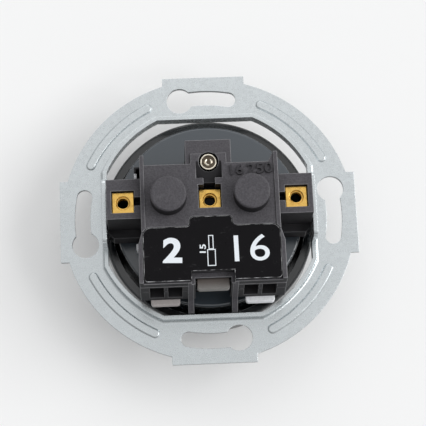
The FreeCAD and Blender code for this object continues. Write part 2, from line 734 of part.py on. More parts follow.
def chamber_tools(side, sign):
    """Contact chamber with its boss bore, wire holes and the button's opening."""
    roof = "roof - chamber_roof"
    bore_end = "roof + boss_height - boss_round - sleeve_end_gap"
    button = "(button_half_width + slide_gap)"
    tools = [
        box(f"{side}Chamber", span(sign, "chamber_inner", "chamber_outer"),
            ("-chamber_low_edge", "chamber_top_edge"), ("seat + button_low + button_height + slide_gap", roof)),
        box(f"{side}ChamberFoot", span(sign, "chamber_inner", "chamber_outer"),
            ("-chamber_foot_edge", "chamber_top_edge"), ("seat", roof)),
        cylinder(f"{side}BossBore", "boss_bore_radius", f"{sign}pin_x", "0", ("seat", bore_end)),
        box(f"{side}ButtonWay",
            span(sign, f"button_middle - {button}", f"button_middle + {button}"),
            ("-(reach + 1)", "-button_tail + button_travel + slide_gap"),
            ("seat + button_low - slide_gap", "seat + button_low + button_height + slide_gap")),
    ]
    for place_name, shift in (("Inner", "-wire_spacing / 2"), ("Outer", "wire_spacing / 2")):
        middle = f"wire_middle {'-' if shift.startswith('-') else '+'} wire_spacing / 2"
        low, high = f"{middle} - wire_hole_width / 2", f"{middle} + wire_hole_width / 2"
        tools.append(box(f"{side}{place_name}WireHole", span(sign, low, high),
                         ("-(reach + 1)", "-chamber_low_edge"), ("wire_low", "wire_top")))
    return tools


def middle_tools():
    """Centre nut pocket with its neck and channel, tower bore, strap channel and earth bay."""
    half = "(nut_side / 2 + snug_gap)"
    floor = "nut_low"
    above = "roof + 1"
    strap_way = "strap_half_width + slide_gap"
    rail = "(earth_button_low - slide_gap)"
    return [
        box("CentreNutPocket", (f"-{half}", half), (f"-{half}", "nut_pocket_edge"), (floor, above)),
        box("NeckWell", ("-neck_half_width", "neck_half_width"), ("0", "channel_low_edge - neck_floor"),
            (floor, above)),
        box("Neck", ("-neck_half_width", "neck_half_width"), ("0", "channel_low_edge"),
            ("roof - channel_depth", above)),
        prism("Channel", "YZ", [("channel_low_edge", "roof - channel_depth"), ("tail_middle", "roof"),
                                ("tail_middle", "roof + 1"), ("channel_low_edge", "roof + 1")],
              "-channel_half_width", "channel_half_width"),
        cylinder("TowerBore", "tower_bore_radius", "0", "tail_middle", ("seat", above)),
        cylinder("ScrewBore", "cover_screw_radius + slide_gap", "0", "0", ("seat", above)),
        box("StrapWay", (f"-({strap_way})", strap_way),
            ("-chamber_low_edge", "earth_offset + earth_collar_radius + snug_gap"),
            ("seat", "strap_low + strap_thickness + snug_gap")),
        box("PlateRecess", ("-(plate_half_width + slide_gap)", "plate_half_width + slide_gap"),
            ("-(plate_low_edge + slide_gap)", "plate_top_edge + slide_gap"), ("seat", "seat + plate_thickness")),
        box("UpperArmWay", ("-(fascia_half_width + 1)", "-(arm_start - slide_gap)"),
            ("plate_top_edge - plate_tab_width - slide_gap", "upper_tab_edge + slide_gap"),
            ("seat", "seat + plate_thickness")),
        box("LowerTabWay", ("-(fascia_half_width + 1)", "-plate_half_width"),
            ("-(lower_tab_edge + plate_tab_width + slide_gap)", "-(lower_tab_edge - slide_gap)"),
            ("seat", "seat + plate_thickness")),
        box("EarthBay", ("-bay_half_width", "bay_half_width"), ("-(reach + 1)", "-bay_back_edge"),
            ("seat + bay_floor", f"{rail} - rail_thickness")),
        box("RailGap", ("-(bay_half_width - rail_width)", "bay_half_width - rail_width"),
            ("-(reach + 1)", "-bay_back_edge"), ("seat + bay_floor", "roof - bay_roof")),
        box("RailEnd", ("-bay_half_width", "bay_half_width"),
            ("-(button_tail - button_travel - slide_gap)", "-bay_back_edge"),
            ("seat + bay_floor", "roof - bay_roof")),
        box("EarthButtonWay", ("-bay_half_width", "bay_half_width"), ("-(reach + 1)", "-bay_back_edge"),
            (rail, "roof - bay_roof")),
        box("LipStep", ("-lip_half_width", "lip_half_width"), ("-(reach + 1)", "-lid_notch_edge"),
            ("roof - lip_drop", above)),
        box("LipEnd", ("-bay_half_width", "bay_half_width"), ("-(reach + 1)", "-lip_edge"),
            ("seat", above)),
    ]


def lid_recess():
    """Shallow recess in the roof in which the terminal lid lies, with the lid's own rounded corners."""
    low = "roof + lid_proud - lid_thickness"
    return rounded_lid("LidRecess", prism("LidRecessBlock", "XY", lid_outline("snug_gap"), low, "roof + 1"),
                       value("snug_gap"))


def rounded_lid(name, block, gap):
    """Round the corners of the lid's stepped upper edge, or of a recess that is larger by a gap."""
    step, wide = value("lid_step_half_width") + gap, value("lid_half_width") + gap
    high, low = gap - value("lid_step_edge"), gap - value("lid_top_edge")
    stepped = rounded(f"{name}Step", block, lambda p: near(abs(p.x), step) and (near(p.y, high) or near(p.y, low)),
                      "lid_step_round")
    return rounded(name, stepped, lambda p: near(abs(p.x), wide) and near(p.y, low), "lid_corner")


def lid_outline(gap):
    """Outline of the terminal lid, grown by a gap on its upper and outer sides."""
    return [(f"-(lid_half_width + {gap})", "-(base_low_edge + 1)") if gap != "0" else
            ("-lid_half_width", "-lid_low_edge"),
            (f"-(lid_half_width + {gap})", f"-(lid_top_edge - {gap})"),
            (f"-(lid_step_half_width + {gap})", f"-(lid_top_edge - {gap})"),
            (f"-(lid_step_half_width + {gap})", f"-(lid_step_edge - {gap})"),
            (f"lid_step_half_width + {gap}", f"-(lid_step_edge - {gap})"),
            (f"lid_step_half_width + {gap}", f"-(lid_top_edge - {gap})"),
            (f"lid_half_width + {gap}", f"-(lid_top_edge - {gap})"),
            (f"lid_half_width + {gap}", "-(base_low_edge + 1)") if gap != "0" else
            ("lid_half_width", "-lid_low_edge")]


def make_terminal_lid():
    """Glossy plate over the terminals, stepped at the top and notched over the earth button."""
    low = "roof + lid_proud - lid_thickness"
    plate = rounded_lid("LidPlate", prism("LidPlateBlock", "XY", lid_outline("0"), low, "roof + lid_proud"), 0.0)
    notch = box("LidNotch", ("-lip_half_width", "lip_half_width"), ("-(base_low_edge + 1)", "-lid_notch_edge"),
                ("seat", "roof + 1"))
    trimmed = cut("TrimmedLid", plate, notch)
    wide, low_edge = value("lid_half_width"), -value("lid_low_edge")
    lid = rounded("Lid", trimmed, lambda p: near(abs(p.x), wide) and near(p.y, low_edge), "lid_step_round")
    return finish("terminal_lid", lid)


def make_carrier_plate():
    """White plate behind the cover: it closes the chambers, and two of its tabs show beside the base."""
    top = "seat + plate_thickness"
    plate = box("Plate", ("-plate_half_width", "plate_half_width"), ("-plate_low_edge", "plate_top_edge"),
                ("seat", top))
    upper, lower = ("upper_tab_edge - plate_tab_width", "upper_tab_edge"), \
                   ("-(lower_tab_edge + plate_tab_width)", "-lower_tab_edge")
    beside = ("-plate_tab_reach", "-(fascia_half_width + hole_gap)")
    tabs = [
        box("UpperArm", ("-plate_tab_reach", "-arm_start"), ("plate_top_edge - plate_tab_width", "upper_tab_edge"),
            ("seat", top)),
        box("UpperTab", beside, upper, ("seat", "seat + upper_tab_height")),
        box("LowerTabFoot", ("-plate_tab_reach", "-plate_half_width"), lower, ("seat", top)),
        box("LowerTab", beside, lower, ("seat", "seat + lower_tab_height")),
    ]
    holes = [cylinder(f"{side}PlateHole", "boss_bore_radius", f"{sign}pin_x", "0", ("seat", top))
             for side, sign in (("Left", "-"), ("Right", ""))]
    holes.append(cylinder("PlateScrewHole", "cover_screw_radius + slide_gap", "0", "0", ("seat", top)))
    holes.append(cylinder("PlateCollarHole", "earth_root_radius + slide_gap", "0", "tail_middle", ("seat", top)))
    return finish("carrier_plate", cut("CarrierPlate", fuse("PlateWithTabs", plate, *tabs), *holes))


def make_nuts():
    """Three square brass nuts, alike, in the wings and in the middle."""
    for node, middle in (("nut_left", "-nut_x"), ("nut_centre", "0"), ("nut_right", "nut_x")):
        stem = node.title().replace("_", "")
        half = "nut_side / 2"
        block = box(f"{stem}Block", (f"{middle} - {half}", f"{middle} + {half}"), (f"-{half}", half),
                    ("nut_low", "nut_top"))
        hole = cylinder(f"{stem}Hole", "nut_hole_radius", middle, "0",
                        ("nut_top - nut_thickness - 1", "nut_top + 1"))
        sink = cone(f"{stem}Sink", "nut_hole_radius", "nut_hole_radius + nut_chamfer", middle, "0",
                    ("nut_top - nut_chamfer", "nut_top"))
        finish(node, cut(stem, block, hole, sink))


def make_contacts():
    """Sprung brass sleeve for each plug pin, with a bar whose two tongues reach into the wire holes."""
    top = "sleeve_top"
    bar_top = "bar_low + bar_thickness"
    for side, sign in (("Left", "-"), ("Right", "")):
        middle = f"{sign}pin_x"
        tube = cylinder(f"{side}Tube", "sleeve_radius + sleeve_wall", middle, "0", (f"{top} - sleeve_length", top))
        inner_edge = "chamber_inner + slide_gap"
        outer_edge = "chamber_outer - slide_gap"
        bar = [box(f"{side}Bar", span(sign, inner_edge, outer_edge), ("-(chamber_low_edge - slide_gap)", "0"),
                   ("bar_low", bar_top))]
        for word, shift in (("Inner", "-"), ("Outer", "+")):
            tongue = f"wire_middle {shift} wire_spacing / 2"
            half = "(wire_hole_width / 2 - hole_gap)"
            bar.append(box(f"{side}{word}Tongue", span(sign, f"{tongue} - {half}", f"{tongue} + {half}"),
                           ("-(base_low_edge - tongue_set_back)", "-(chamber_low_edge - slide_gap * 2)"),
                           ("bar_low", bar_top)))
        bore = cylinder(f"{side}SleeveBore", "sleeve_radius", middle, "0", ("seat", f"{top} + 1"))
        slit = box(f"{side}Slit", (f"{middle} - sleeve_slit / 2", f"{middle} + sleeve_slit / 2"),
                   ("0", "chamber_top_edge"), ("seat", f"{top} + 1"))
        side_word = side.lower()
        finish(f"contact_{side_word}", cut(f"{side}Contact", fuse(f"{side}Sleeve", tube, *bar), bore, slit))

        clip_inner = "sleeve_radius + sleeve_wall + hole_gap"
        clip_low = f"{top} - sleeve_length + hole_gap"
        ring = cylinder(f"{side}ClipRing", f"{clip_inner} + clip_wall", middle, "0",
                        (clip_low, f"{clip_low} + clip_height"))
        clip_bore = cylinder(f"{side}ClipBore", clip_inner, middle, "0", ("seat", "bar_low"))
        clip_slit = box(f"{side}ClipSlit", (f"{middle} - sleeve_slit", f"{middle} + sleeve_slit"),
                        ("0", "chamber_top_edge"), ("seat", "bar_low"))
        finish(f"contact_clip_{side_word}", cut(f"{side}Clip", ring, clip_bore, clip_slit))


def bent_leaf(points, thickness):
    """Outline of a leaf of even thickness that follows a bent line, as corner points."""
    def shifted(offset):
        side_points = []
        for i, point in enumerate(points):
            before = (point - points[i - 1]).normalize() if i else None
            after = (points[i + 1] - point).normalize() if i < len(points) - 1 else None
            along = (before or after) + (after or before)
            along.normalize()
            across = V(0, -along.z, along.y)
            share = along.dot(after or before)
            side_points.append(point + across * (offset / share))
        return side_points
    return shifted(thickness / 2) + list(reversed(shifted(-thickness / 2)))


def make_clamp_spring(node, middle, width, line):
    """Bent steel leaf that presses a wire against its bar."""
    corners = bent_leaf([V(0, value(y), value(z)) for y, z in line], value("spring_leaf"))
    face = Part.Face(Part.makePolygon(corners + [corners[0]]))
    leaf = doc.addObject("Part::Feature", node.title().replace("_", ""))
    leaf.Shape = face.extrude(V(value(width), 0, 0))
    place(leaf, f"{middle} - {width} / 2")
    finish(node, leaf)


def make_clamp_springs():
    """Two springs each side, one for each wire hole, and one wide spring in the earth bay."""
    tail = "-(button_tail - button_travel - slide_gap - spring_leaf)"
    for side, sign in (("left", "-"), ("right", "")):
        seat_low = "bar_low - hole_gap - spring_leaf / 2"
        line = [("-(bay_back_edge - 1)", seat_low), ("-bay_back_edge", seat_low),
                ("-bay_back_edge", "seat + button_low"),
                ("-(bay_back_edge + 1.5)", "seat + plate_thickness + spring_leaf"),
                (tail, "seat + button_low + button_height / 2"),
                (f"{tail} + 0.6", f"{seat_low} - spring_leaf * 2")]
        for place_word, shift in (("inner", "-"), ("outer", "+")):
            middle = f"{sign}(wire_middle {shift} wire_spacing / 2)"
            make_clamp_spring(f"clamp_spring_{side}_{place_word}", middle, "spring_width", line)
    high = "earth_button_low"
    seat_high = "strap_low + bay_floor"
    line = [("-(bay_back_edge + 3.2)", seat_high), ("-(bay_back_edge + spring_leaf / 2 + snug_gap)", seat_high),
            ("-(bay_back_edge + spring_leaf / 2 + snug_gap)", f"{high} + 0.6"),
            (tail, f"{high} + 0.6"), (f"{tail} + 0.8", f"{seat_high} + spring_leaf * 3")]
    make_clamp_spring("clamp_spring_earth", "0", "2 * (bay_half_width - slide_gap)", line)


def make_buttons():
    """White release buttons: one under each pair of wire holes, and one above the earth bay."""
    for side, sign in (("left", "-"), ("right", "")):
        stem = side.title()
        blank = box(f"{stem}ButtonBlank",
                    span(sign, "button_middle - button_half_width", "button_middle + button_half_width"),
                    ("-button_face", "-button_tail"),
                    ("seat + button_low", "seat + button_low + button_height"))
        face = -value("button_face")
        finish(f"release_button_{side}",
               rounded(f"{stem}Button", blank, lambda p: near(p.y, face) and not_level(p, blank), "button_corner"))
    blank = box("EarthButtonBlank", ("-earth_button_half_width", "earth_button_half_width"),
                ("-earth_button_face", "-button_tail"),
                ("earth_button_low", "earth_button_low + earth_button_height"))
    face = -value("earth_button_face")
    finish("release_button_earth",
           rounded("EarthButton", blank, lambda p: near(p.y, face) and not_level(p, blank), "button_corner"))


def not_level(point, blank):
    """True for a point on one of a blank's side planes."""
    limits = blank.Shape.BoundBox
    return near(point.x, limits.XMin) or near(point.x, limits.XMax)


def make_cover_screw():
    """Countersunk screw that holds the cover to the centre nut."""
    head_top = "well_depth + snug_gap"
    end = "nut_low + cover_screw_core / 2"
    head = cone("ScrewHead", "cover_screw_head - snug_gap", "cover_screw_radius", "0", "0",
                (head_top, f"{head_top} + cover_screw_head_height"))
    shank = cylinder("ScrewShank", "cover_screw_radius", "0", "0", (head_top, "nut_low - hole_gap"))
    thread = cylinder("ScrewThread", "cover_screw_core", "0", "0", (head_top, end))
    driver = box("DriverSlot", ("-cover_screw_head", "cover_screw_head"), ("-driver_slot / 2", "driver_slot / 2"),
                 ("well_depth", f"{head_top} + driver_slot"))
    return finish("cover_screw", cut("CoverScrew", fuse("ScrewBody", head, shank, thread), driver))


def make_earth_parts():
    """Earth pin in the well, with its collar and riveted tail, and the strap to the earth bay."""
    strap_top = "strap_low + strap_thickness"
    pin = cylinder("EarthPinFree", "earth_pin_radius", "0", "earth_offset", ("earth_pin_tip", "well_depth"))
    tip = value("earth_pin_tip")
    pin = rounded("EarthPinRounded", pin, lambda p: near(p.z, tip), "earth_pin_radius / 3")
    root = cylinder("EarthRoot", "earth_root_radius", "0", "earth_offset", ("well_depth", "seat"))
    collar = cylinder("EarthCollar", "earth_collar_radius", "0", "earth_offset", ("seat", "strap_low"))
    lobe = cylinder("EarthCollarLobe", "earth_root_radius", "0", "tail_middle", ("seat", "strap_low"))
    tail = cylinder("EarthTail", "earth_tail_radius", "0", "tail_middle", ("seat", "tail_top"))
    dish = cylinder("EarthDish", "earth_dish_radius", "0", "tail_middle",
                    ("tail_top - earth_dish_depth", "tail_top + 1"))
    rivet = cylinder("EarthRivet", "earth_dish_radius / 2", "0", "tail_middle",
                     ("strap_low", "tail_top - earth_dish_depth / 2"))
    hollow = cut("EarthTailDished", tail, dish)
    finish("earth_pin", fuse("EarthPin", pin, root, collar, lobe, hollow, rivet))

    blank = box("StrapBlank", ("-strap_half_width", "strap_half_width"),
                ("-(chamber_low_edge - slide_gap)", "earth_offset + earth_collar_radius"), ("strap_low", strap_top))
    pin_hole = cylinder("StrapPinHole", "earth_tail_radius + hole_gap", "0", "tail_middle", ("seat", "roof"))
    screw_hole = cylinder("StrapScrewHole", "cover_screw_radius + slide_gap", "0", "0", ("seat", "roof"))
    finish("earth_strap", cut("EarthStrap", blank, pin_hole, screw_hole))


def check_and_write():
    """Stop on any failed object or bad shape, then write one file for each piece."""
    doc.recompute()
    failed = [obj.Name for obj in doc.Objects if "Invalid" in obj.State or "Error" in obj.State]
    if failed:
        raise RuntimeError(f"failed objects: {failed}")
    for node, obj in PIECES.items():
        shape = obj.Shape
        if shape.isNull() or not shape.isValid() or not shape.Solids:
            raise RuntimeError(f"bad shape: {node}")
    os.makedirs("parts", exist_ok=True)
    for node, obj in PIECES.items():
        obj.Shape.exportStep(f"parts/{node}.step")
        limits = obj.Shape.BoundBox
        print(f"{node:26s} solids {len(obj.Shape.Solids)}  volume {obj.Shape.Volume:9.2f}  "
              f"x {limits.XMin:7.2f} {limits.XMax:6.2f}  y {limits.YMin:7.2f} {limits.YMax:6.2f}  "
              f"z {limits.ZMin:6.2f} {limits.ZMax:6.2f}")


make_support_ring()
make_front_cover()
make_socket_base()
make_terminal_lid()
make_carrier_plate()
make_nuts()
make_contacts()
make_clamp_springs()
make_buttons()
make_cover_screw()
make_earth_parts()
check_and_write()
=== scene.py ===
"""Looks for a round flush socket insert that lies face down, with its wiring side up.

Sizes in the classes are in millimetres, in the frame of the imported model: +Z points to the wiring
side and +Y to the earth pin. They become metres where a mesh is made.
"""

import logging
import math
from dataclasses import dataclass
from enum import Enum
from typing import Callable, Sequence

import bmesh
import bpy
from mathutils import Matrix, Vector


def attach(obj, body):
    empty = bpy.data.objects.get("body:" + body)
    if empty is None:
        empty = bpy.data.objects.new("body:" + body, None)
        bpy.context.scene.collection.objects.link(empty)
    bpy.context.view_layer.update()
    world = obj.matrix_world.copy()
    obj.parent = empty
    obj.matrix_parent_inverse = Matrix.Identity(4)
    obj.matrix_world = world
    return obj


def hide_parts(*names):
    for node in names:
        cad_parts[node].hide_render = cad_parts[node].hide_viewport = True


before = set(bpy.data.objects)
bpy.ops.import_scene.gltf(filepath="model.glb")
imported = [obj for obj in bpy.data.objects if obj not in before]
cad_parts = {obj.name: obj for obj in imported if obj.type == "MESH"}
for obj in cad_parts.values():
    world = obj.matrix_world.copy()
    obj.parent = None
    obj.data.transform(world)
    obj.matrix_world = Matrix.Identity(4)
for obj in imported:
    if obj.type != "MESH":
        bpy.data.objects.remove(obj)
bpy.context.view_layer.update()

LOG = logging.getLogger("insert")
MM = 0.001
INSERT = "insert"
EASED = "eased_edge"
SHELTERED = "sheltered"

# Noise values between which a pattern fades in: over all of the surface, and in thin lines
EVEN = (0.3, 0.7)
SCRATCHED = (0.70, 0.76)
# Metres within which points are one, and the angle under which two faces are one
MERGED = 1e-7
FLAT = math.radians(0.4)
# Weight at which the large faces keep their shading flat
LARGE_FACES_LEAD = 90
# Faces in one turn of a thread, and round its ridge
THREAD_STEPS = 28
THREAD_CORNERS = 4
# Millimetres by which a CAD size is missed and still found
SLACK = 0.05
# Heights between which the cover's wall gets painted shade
COVER_WALL = (2.0, 12.0)

Point = tuple[float, float, float]
Color = tuple[float, float, float]
Pair = tuple[float, float]
Socket = bpy.types.NodeSocket
Piece = bpy.types.Object
Solid = bmesh.types.BMesh


class Place(Enum):
    """Where a piece stands along X, as a share of its distance from the middle."""

    LEFT = -1
    CENTRE = 0
    RIGHT = 1

    @property
    def word(self) -> str:
        """The place's name as it stands in node names."""
        return self.name.lower()


# Materials


class Graph:
    """Node tree of one material, with short calls that add and link nodes."""

    def __init__(self, name: str) -> None:
        """Start an empty material with a shader and an output.

        Args:
            name: name of the material.
        """
        self.material = bpy.data.materials.new(name)
        self.material.use_nodes = True
        self.tree = self.material.node_tree
        self.tree.nodes.clear()
        self.shader = self.tree.nodes.new("ShaderNodeBsdfPrincipled")
        self.output = self.tree.nodes.new("ShaderNodeOutputMaterial")
        self.tree.links.new(self.shader.outputs[0], self.output.inputs[0])
        self.place = self.node("TexCoord").outputs["Object"]

    def node(self, kind: str, **values: object) -> bpy.types.Node:
        """Add a node and set or link its inputs.

        Args:
            kind: node type without the ShaderNode prefix.
            values: inputs by name, with spaces written as underscores; a socket is linked.

        Returns:
            The new node.
        """
        made = self.tree.nodes.new(f"ShaderNode{kind}")
        for key, value in values.items():
            self.put(made.inputs[key.replace("_", " ")], value)
        return made

    def put(self, socket: Socket, value: object) -> None:
        """Link a socket to another one, or set its value.

        Args:
            socket: the socket that is fed.
            value: another socket or a plain value.
        """
        if isinstance(value, Socket):
            self.tree.links.new(value, socket)
        else:
            socket.default_value = value

    def scaled(self, scale: Point, turn: float = 0.0) -> Socket:
        """Object coordinates in millimetres, stretched and turned about Z.

        Args:
            scale: factor along each axis.
            turn: angle in degrees.

        Returns:
            The coordinates' socket.
        """
        mapping = self.node("Mapping", Vector=self.place)
        mapping.inputs["Scale"].default_value = tuple(s / MM for s in scale)
        mapping.inputs["Rotation"].default_value = (0.0, 0.0, math.radians(turn))
        return mapping.outputs[0]

    def noise(self, size: float, detail: float = 4.0, rough: float = 0.55,
              vector: Socket | None = None) -> Socket:
        """Noise with features of about the given size in millimetres.

        Args:
            size: size of a feature.
            detail: octaves.
            rough: share that each octave keeps.
            vector: other coordinates, in millimetres.

        Returns:
            The noise factor's socket.
        """
        place = self.scaled((1, 1, 1)) if vector is None else vector
        made = self.node("TexNoise", Detail=detail, Roughness=rough, Scale=1.0 / size, Vector=place)
        return made.outputs["Fac"]

    def span(self, value: Socket, low: float, high: float, to_low: float = 0.0,
             to_high: float = 1.0) -> Socket:
        """Map a value's range to another, without going outside it.

        Args:
            value: the value.
            low: where the value's range starts.
            high: where it ends.
            to_low: start of the new range.
            to_high: its end.

        Returns:
            The mapped value's socket.
        """
        made = self.node("MapRange", Value=value, From_Min=low, From_Max=high, To_Min=to_low, To_Max=to_high)
        made.clamp = True
        return made.outputs[0]

    def math(self, operation: str, a: object, b: object = 0.0) -> Socket:
        """Join two values with an arithmetic operation.

        Args:
            operation: Blender's word for it.
            a: first value or socket.
            b: second value or socket.

        Returns:
            The result's socket.
        """
        made = self.tree.nodes.new("ShaderNodeMath")
        made.operation = operation
        self.put(made.inputs[0], a)
        self.put(made.inputs[1], b)
        return made.outputs[0]

    def blend(self, share: object, first: object, second: object) -> Socket:
        """Mix two colours.

        Args:
            share: share of the second one.
            first: colour or socket at a share of 0.
            second: colour or socket at a share of 1.

        Returns:
            The mixed colour's socket.
        """
        made = self.tree.nodes.new("ShaderNodeMix")
        made.data_type = "RGBA"
        for socket, value in zip((made.inputs[0], made.inputs[6], made.inputs[7]), (share, first, second)):
            self.put(socket, (*value, 1.0) if isinstance(value, tuple) and len(value) == 3 else value)
        return made.outputs[2]

    def bump(self, height: Socket, depth: float, under: object = None) -> Socket:
        """Turn a height into a normal.

        Args:
            height: height from 0 to 1.
            depth: depth of the relief in millimetres.
            under: normal of a coarser relief below this one.

        Returns:
            The normal's socket.
        """
        made = self.node("Bump", Height=height, Distance=depth * MM, Strength=1.0)
        if under is not None:
            self.put(made.inputs["Normal"], under)
        return made.outputs[0]

    def steepness(self, upright: float = 0.25, level: float = 0.8) -> Socket:
        """1 on upright faces and 0 on level ones, by the vertical part of their normal."""
        split = self.node("SeparateXYZ", Vector=self.node("NewGeometry").outputs["True Normal"])
        return self.span(self.math("ABSOLUTE", split.outputs[2]), upright, level, 1.0, 0.0)

    def beyond(self, radius: float, blur: float = 0.1) -> Socket:
        """1 outside a radius about the Z axis and 0 inside it.

        Args:
            radius: the radius in millimetres.
            blur: half width of the change in millimetres.

        Returns:
            The share's socket.
        """
        flat = self.node("VectorMath")
        flat.operation = "LENGTH"
        self.put(flat.inputs[0], self.scaled((1, 1, 0)))
        return self.span(flat.outputs["Value"], radius - blur, radius + blur)

    def marked(self, name: str) -> Socket:
        """Value that the mesh's own attribute of this name holds on a face.

        Args:
            name: the attribute's name.

        Returns:
            The value's socket.
        """
        made = self.node("Attribute")
        made.attribute_name = name
        return made.outputs["Fac"]

    def wear_and_highlight(self, size: float, band: Pair, least: float, most: float) -> Socket:
        """Wear and a painted highlight on eased edges, from least to most, that come and go with noise of a
        size and band.
        """
        stretches = self.span(self.noise(size, 3.0), *band, least, most)
        return self.math("MULTIPLY", self.marked(EASED), stretches)

    def scratches(self, strokes: Sequence[Pair], stretch: float, rough: float) -> Socket:
        """1 in fine straight scratches and 0 elsewhere.

        Args:
            strokes: angle in degrees and width in millimetres of each set of scratches.
            stretch: a scratch's width against its length.
            rough: share that each octave of the noise keeps.

        Returns:
            The share's socket.
        """
        joined = None
        for turn, width in strokes:
            along = self.scaled((stretch, 1.0, 1.0), turn)
            line = self.span(self.noise(width, 1.0, rough, along), *SCRATCHED)
            joined = line if joined is None else self.math("MAXIMUM", joined, line)
        return joined


@dataclass(frozen=True)
class Finish:
    """A surface finish, made into one material.

    Attributes:
        name: name of the material.
        slot: material slot of the record that it belongs to; not used.
        color: main colour.
        roughness: mean roughness.
    """

    name: str
    slot: str
    color: Color
    roughness: float

    def material(self) -> bpy.types.Material:
        """Make the finish's material, or find it again.

        Returns:
            The material.
        """
        found = bpy.data.materials.get(self.name)
        if found:
            return found
        graph = Graph(self.name)
        graph.put(graph.shader.inputs["Roughness"], self.roughness)
        self.shade(graph)
        return graph.material

    def shade(self, graph: Graph) -> None:
        """Fill the material's node tree."""
        graph.put(graph.shader.inputs["Base Color"], (*self.color, 1.0))


@dataclass(frozen=True)
class MouldedPlastic(Finish):
    """Moulded plastic with a spark-eroded grain, a little dust, worn edges that carry a painted highlight
    too, and painted shade on upright, sheltered and dimmed faces.

    Attributes:
        grain: size of the grain in millimetres.
        relief: depth of the grain in millimetres.
        dust: share of dust on level faces.
        dust_color: colour of the dust.
        upright: brightness of upright faces against level ones, which is painted shade.
        worn: share of the worn colour, which is also a painted highlight, on eased edges.
        wear_and_highlight_color: colour of worn edges, a painted highlight as well.
        shine: specular level.
        contrast: how much darker the grain's hollows are.
        dim: places along Y, in millimetres, between which the piece turns to its dim colour.
        dim_color: colour in the shade of the piece above.
        patch: size of the dusty patches in millimetres.
        speck: size of the specks of dust.
        dusty: noise values between which the patches fade in.
        specked: noise values between which the specks do.
        held: share of the worn and highlight colour that upright edges keep.
    """

    grain: float = 0.16
    relief: float = 0.010
    dust: float = 0.25
    dust_color: Color = (0.30, 0.29, 0.29)
    upright: float = 1.0
    worn: float = 0.0
    wear_and_highlight_color: Color = (0.35, 0.35, 0.36)
    shine: float = 0.5
    contrast: float = 0.16
    dim: Pair | None = None
    dim_color: Color = (0.075, 0.060, 0.053)
    patch: float = 2.4
    speck: float = 0.3
    dusty: Pair = (0.38, 0.72)
    specked: Pair = (0.64, 0.74)
    held: float = 0.35

    def shade(self, graph: Graph) -> None:
        """Fill the material's node tree."""
        graph.put(graph.shader.inputs["Specular IOR Level"], self.shine)
        grain = graph.noise(self.grain, 3.0, 0.6)
        patches = graph.noise(self.patch, 5.0, 0.6)
        # Painted shade: steep is 1 on upright and sheltered faces, which turn darker; shelter below 0
        # lightens a face as a painted highlight.
        steep = graph.span(graph.math("ADD", graph.steepness(), graph.marked(SHELTERED)), 0.0, 1.0)
        level = graph.math("SUBTRACT", 1.0, steep)
        dusty = graph.span(patches, *self.dusty, 0.0, 0.5 * self.dust)
        speck = graph.span(graph.noise(self.speck, 2.0, 0.5), *self.specked, 0.0, self.dust)
        share = graph.math("MULTIPLY", graph.math("MAXIMUM", dusty, speck), level)
        dark = tuple((1.0 - self.contrast) * c for c in self.color)
        base = graph.blend(graph.span(grain, 0.35, 0.65), dark, self.color)
        # Painted shade on upright and sheltered faces.
        base = graph.blend(steep, base, tuple(self.upright * c for c in self.color))
        base = graph.blend(share, base, self.dust_color)
        # Painted shade: darker along Y towards the piece above.
        if self.dim:
            along = graph.node("SeparateXYZ", Vector=graph.scaled((1, 1, 1))).outputs[1]
            base = graph.blend(graph.span(along, *self.dim), base, self.dim_color)
        # Worn edges: real wear, and a painted highlight.
        if self.worn:
            wear_and_highlight = graph.wear_and_highlight(0.9, (0.3, 0.6), 0.35, self.worn)
            wear_and_highlight = graph.math("MULTIPLY", wear_and_highlight, graph.span(steep, 0.0, 1.0, 1.0, self.held))
            base = graph.blend(wear_and_highlight, base, self.wear_and_highlight_color)
        graph.put(graph.shader.inputs["Base Color"], base)
        rough = graph.span(patches, *EVEN, self.roughness - 0.04, self.roughness + 0.04)
        polish = graph.math("MULTIPLY", graph.marked(EASED), 0.5 * self.roughness)
        graph.put(graph.shader.inputs["Roughness"], graph.math("SUBTRACT", rough, polish))
        graph.put(graph.shader.inputs["Normal"], graph.bump(grain, self.relief))


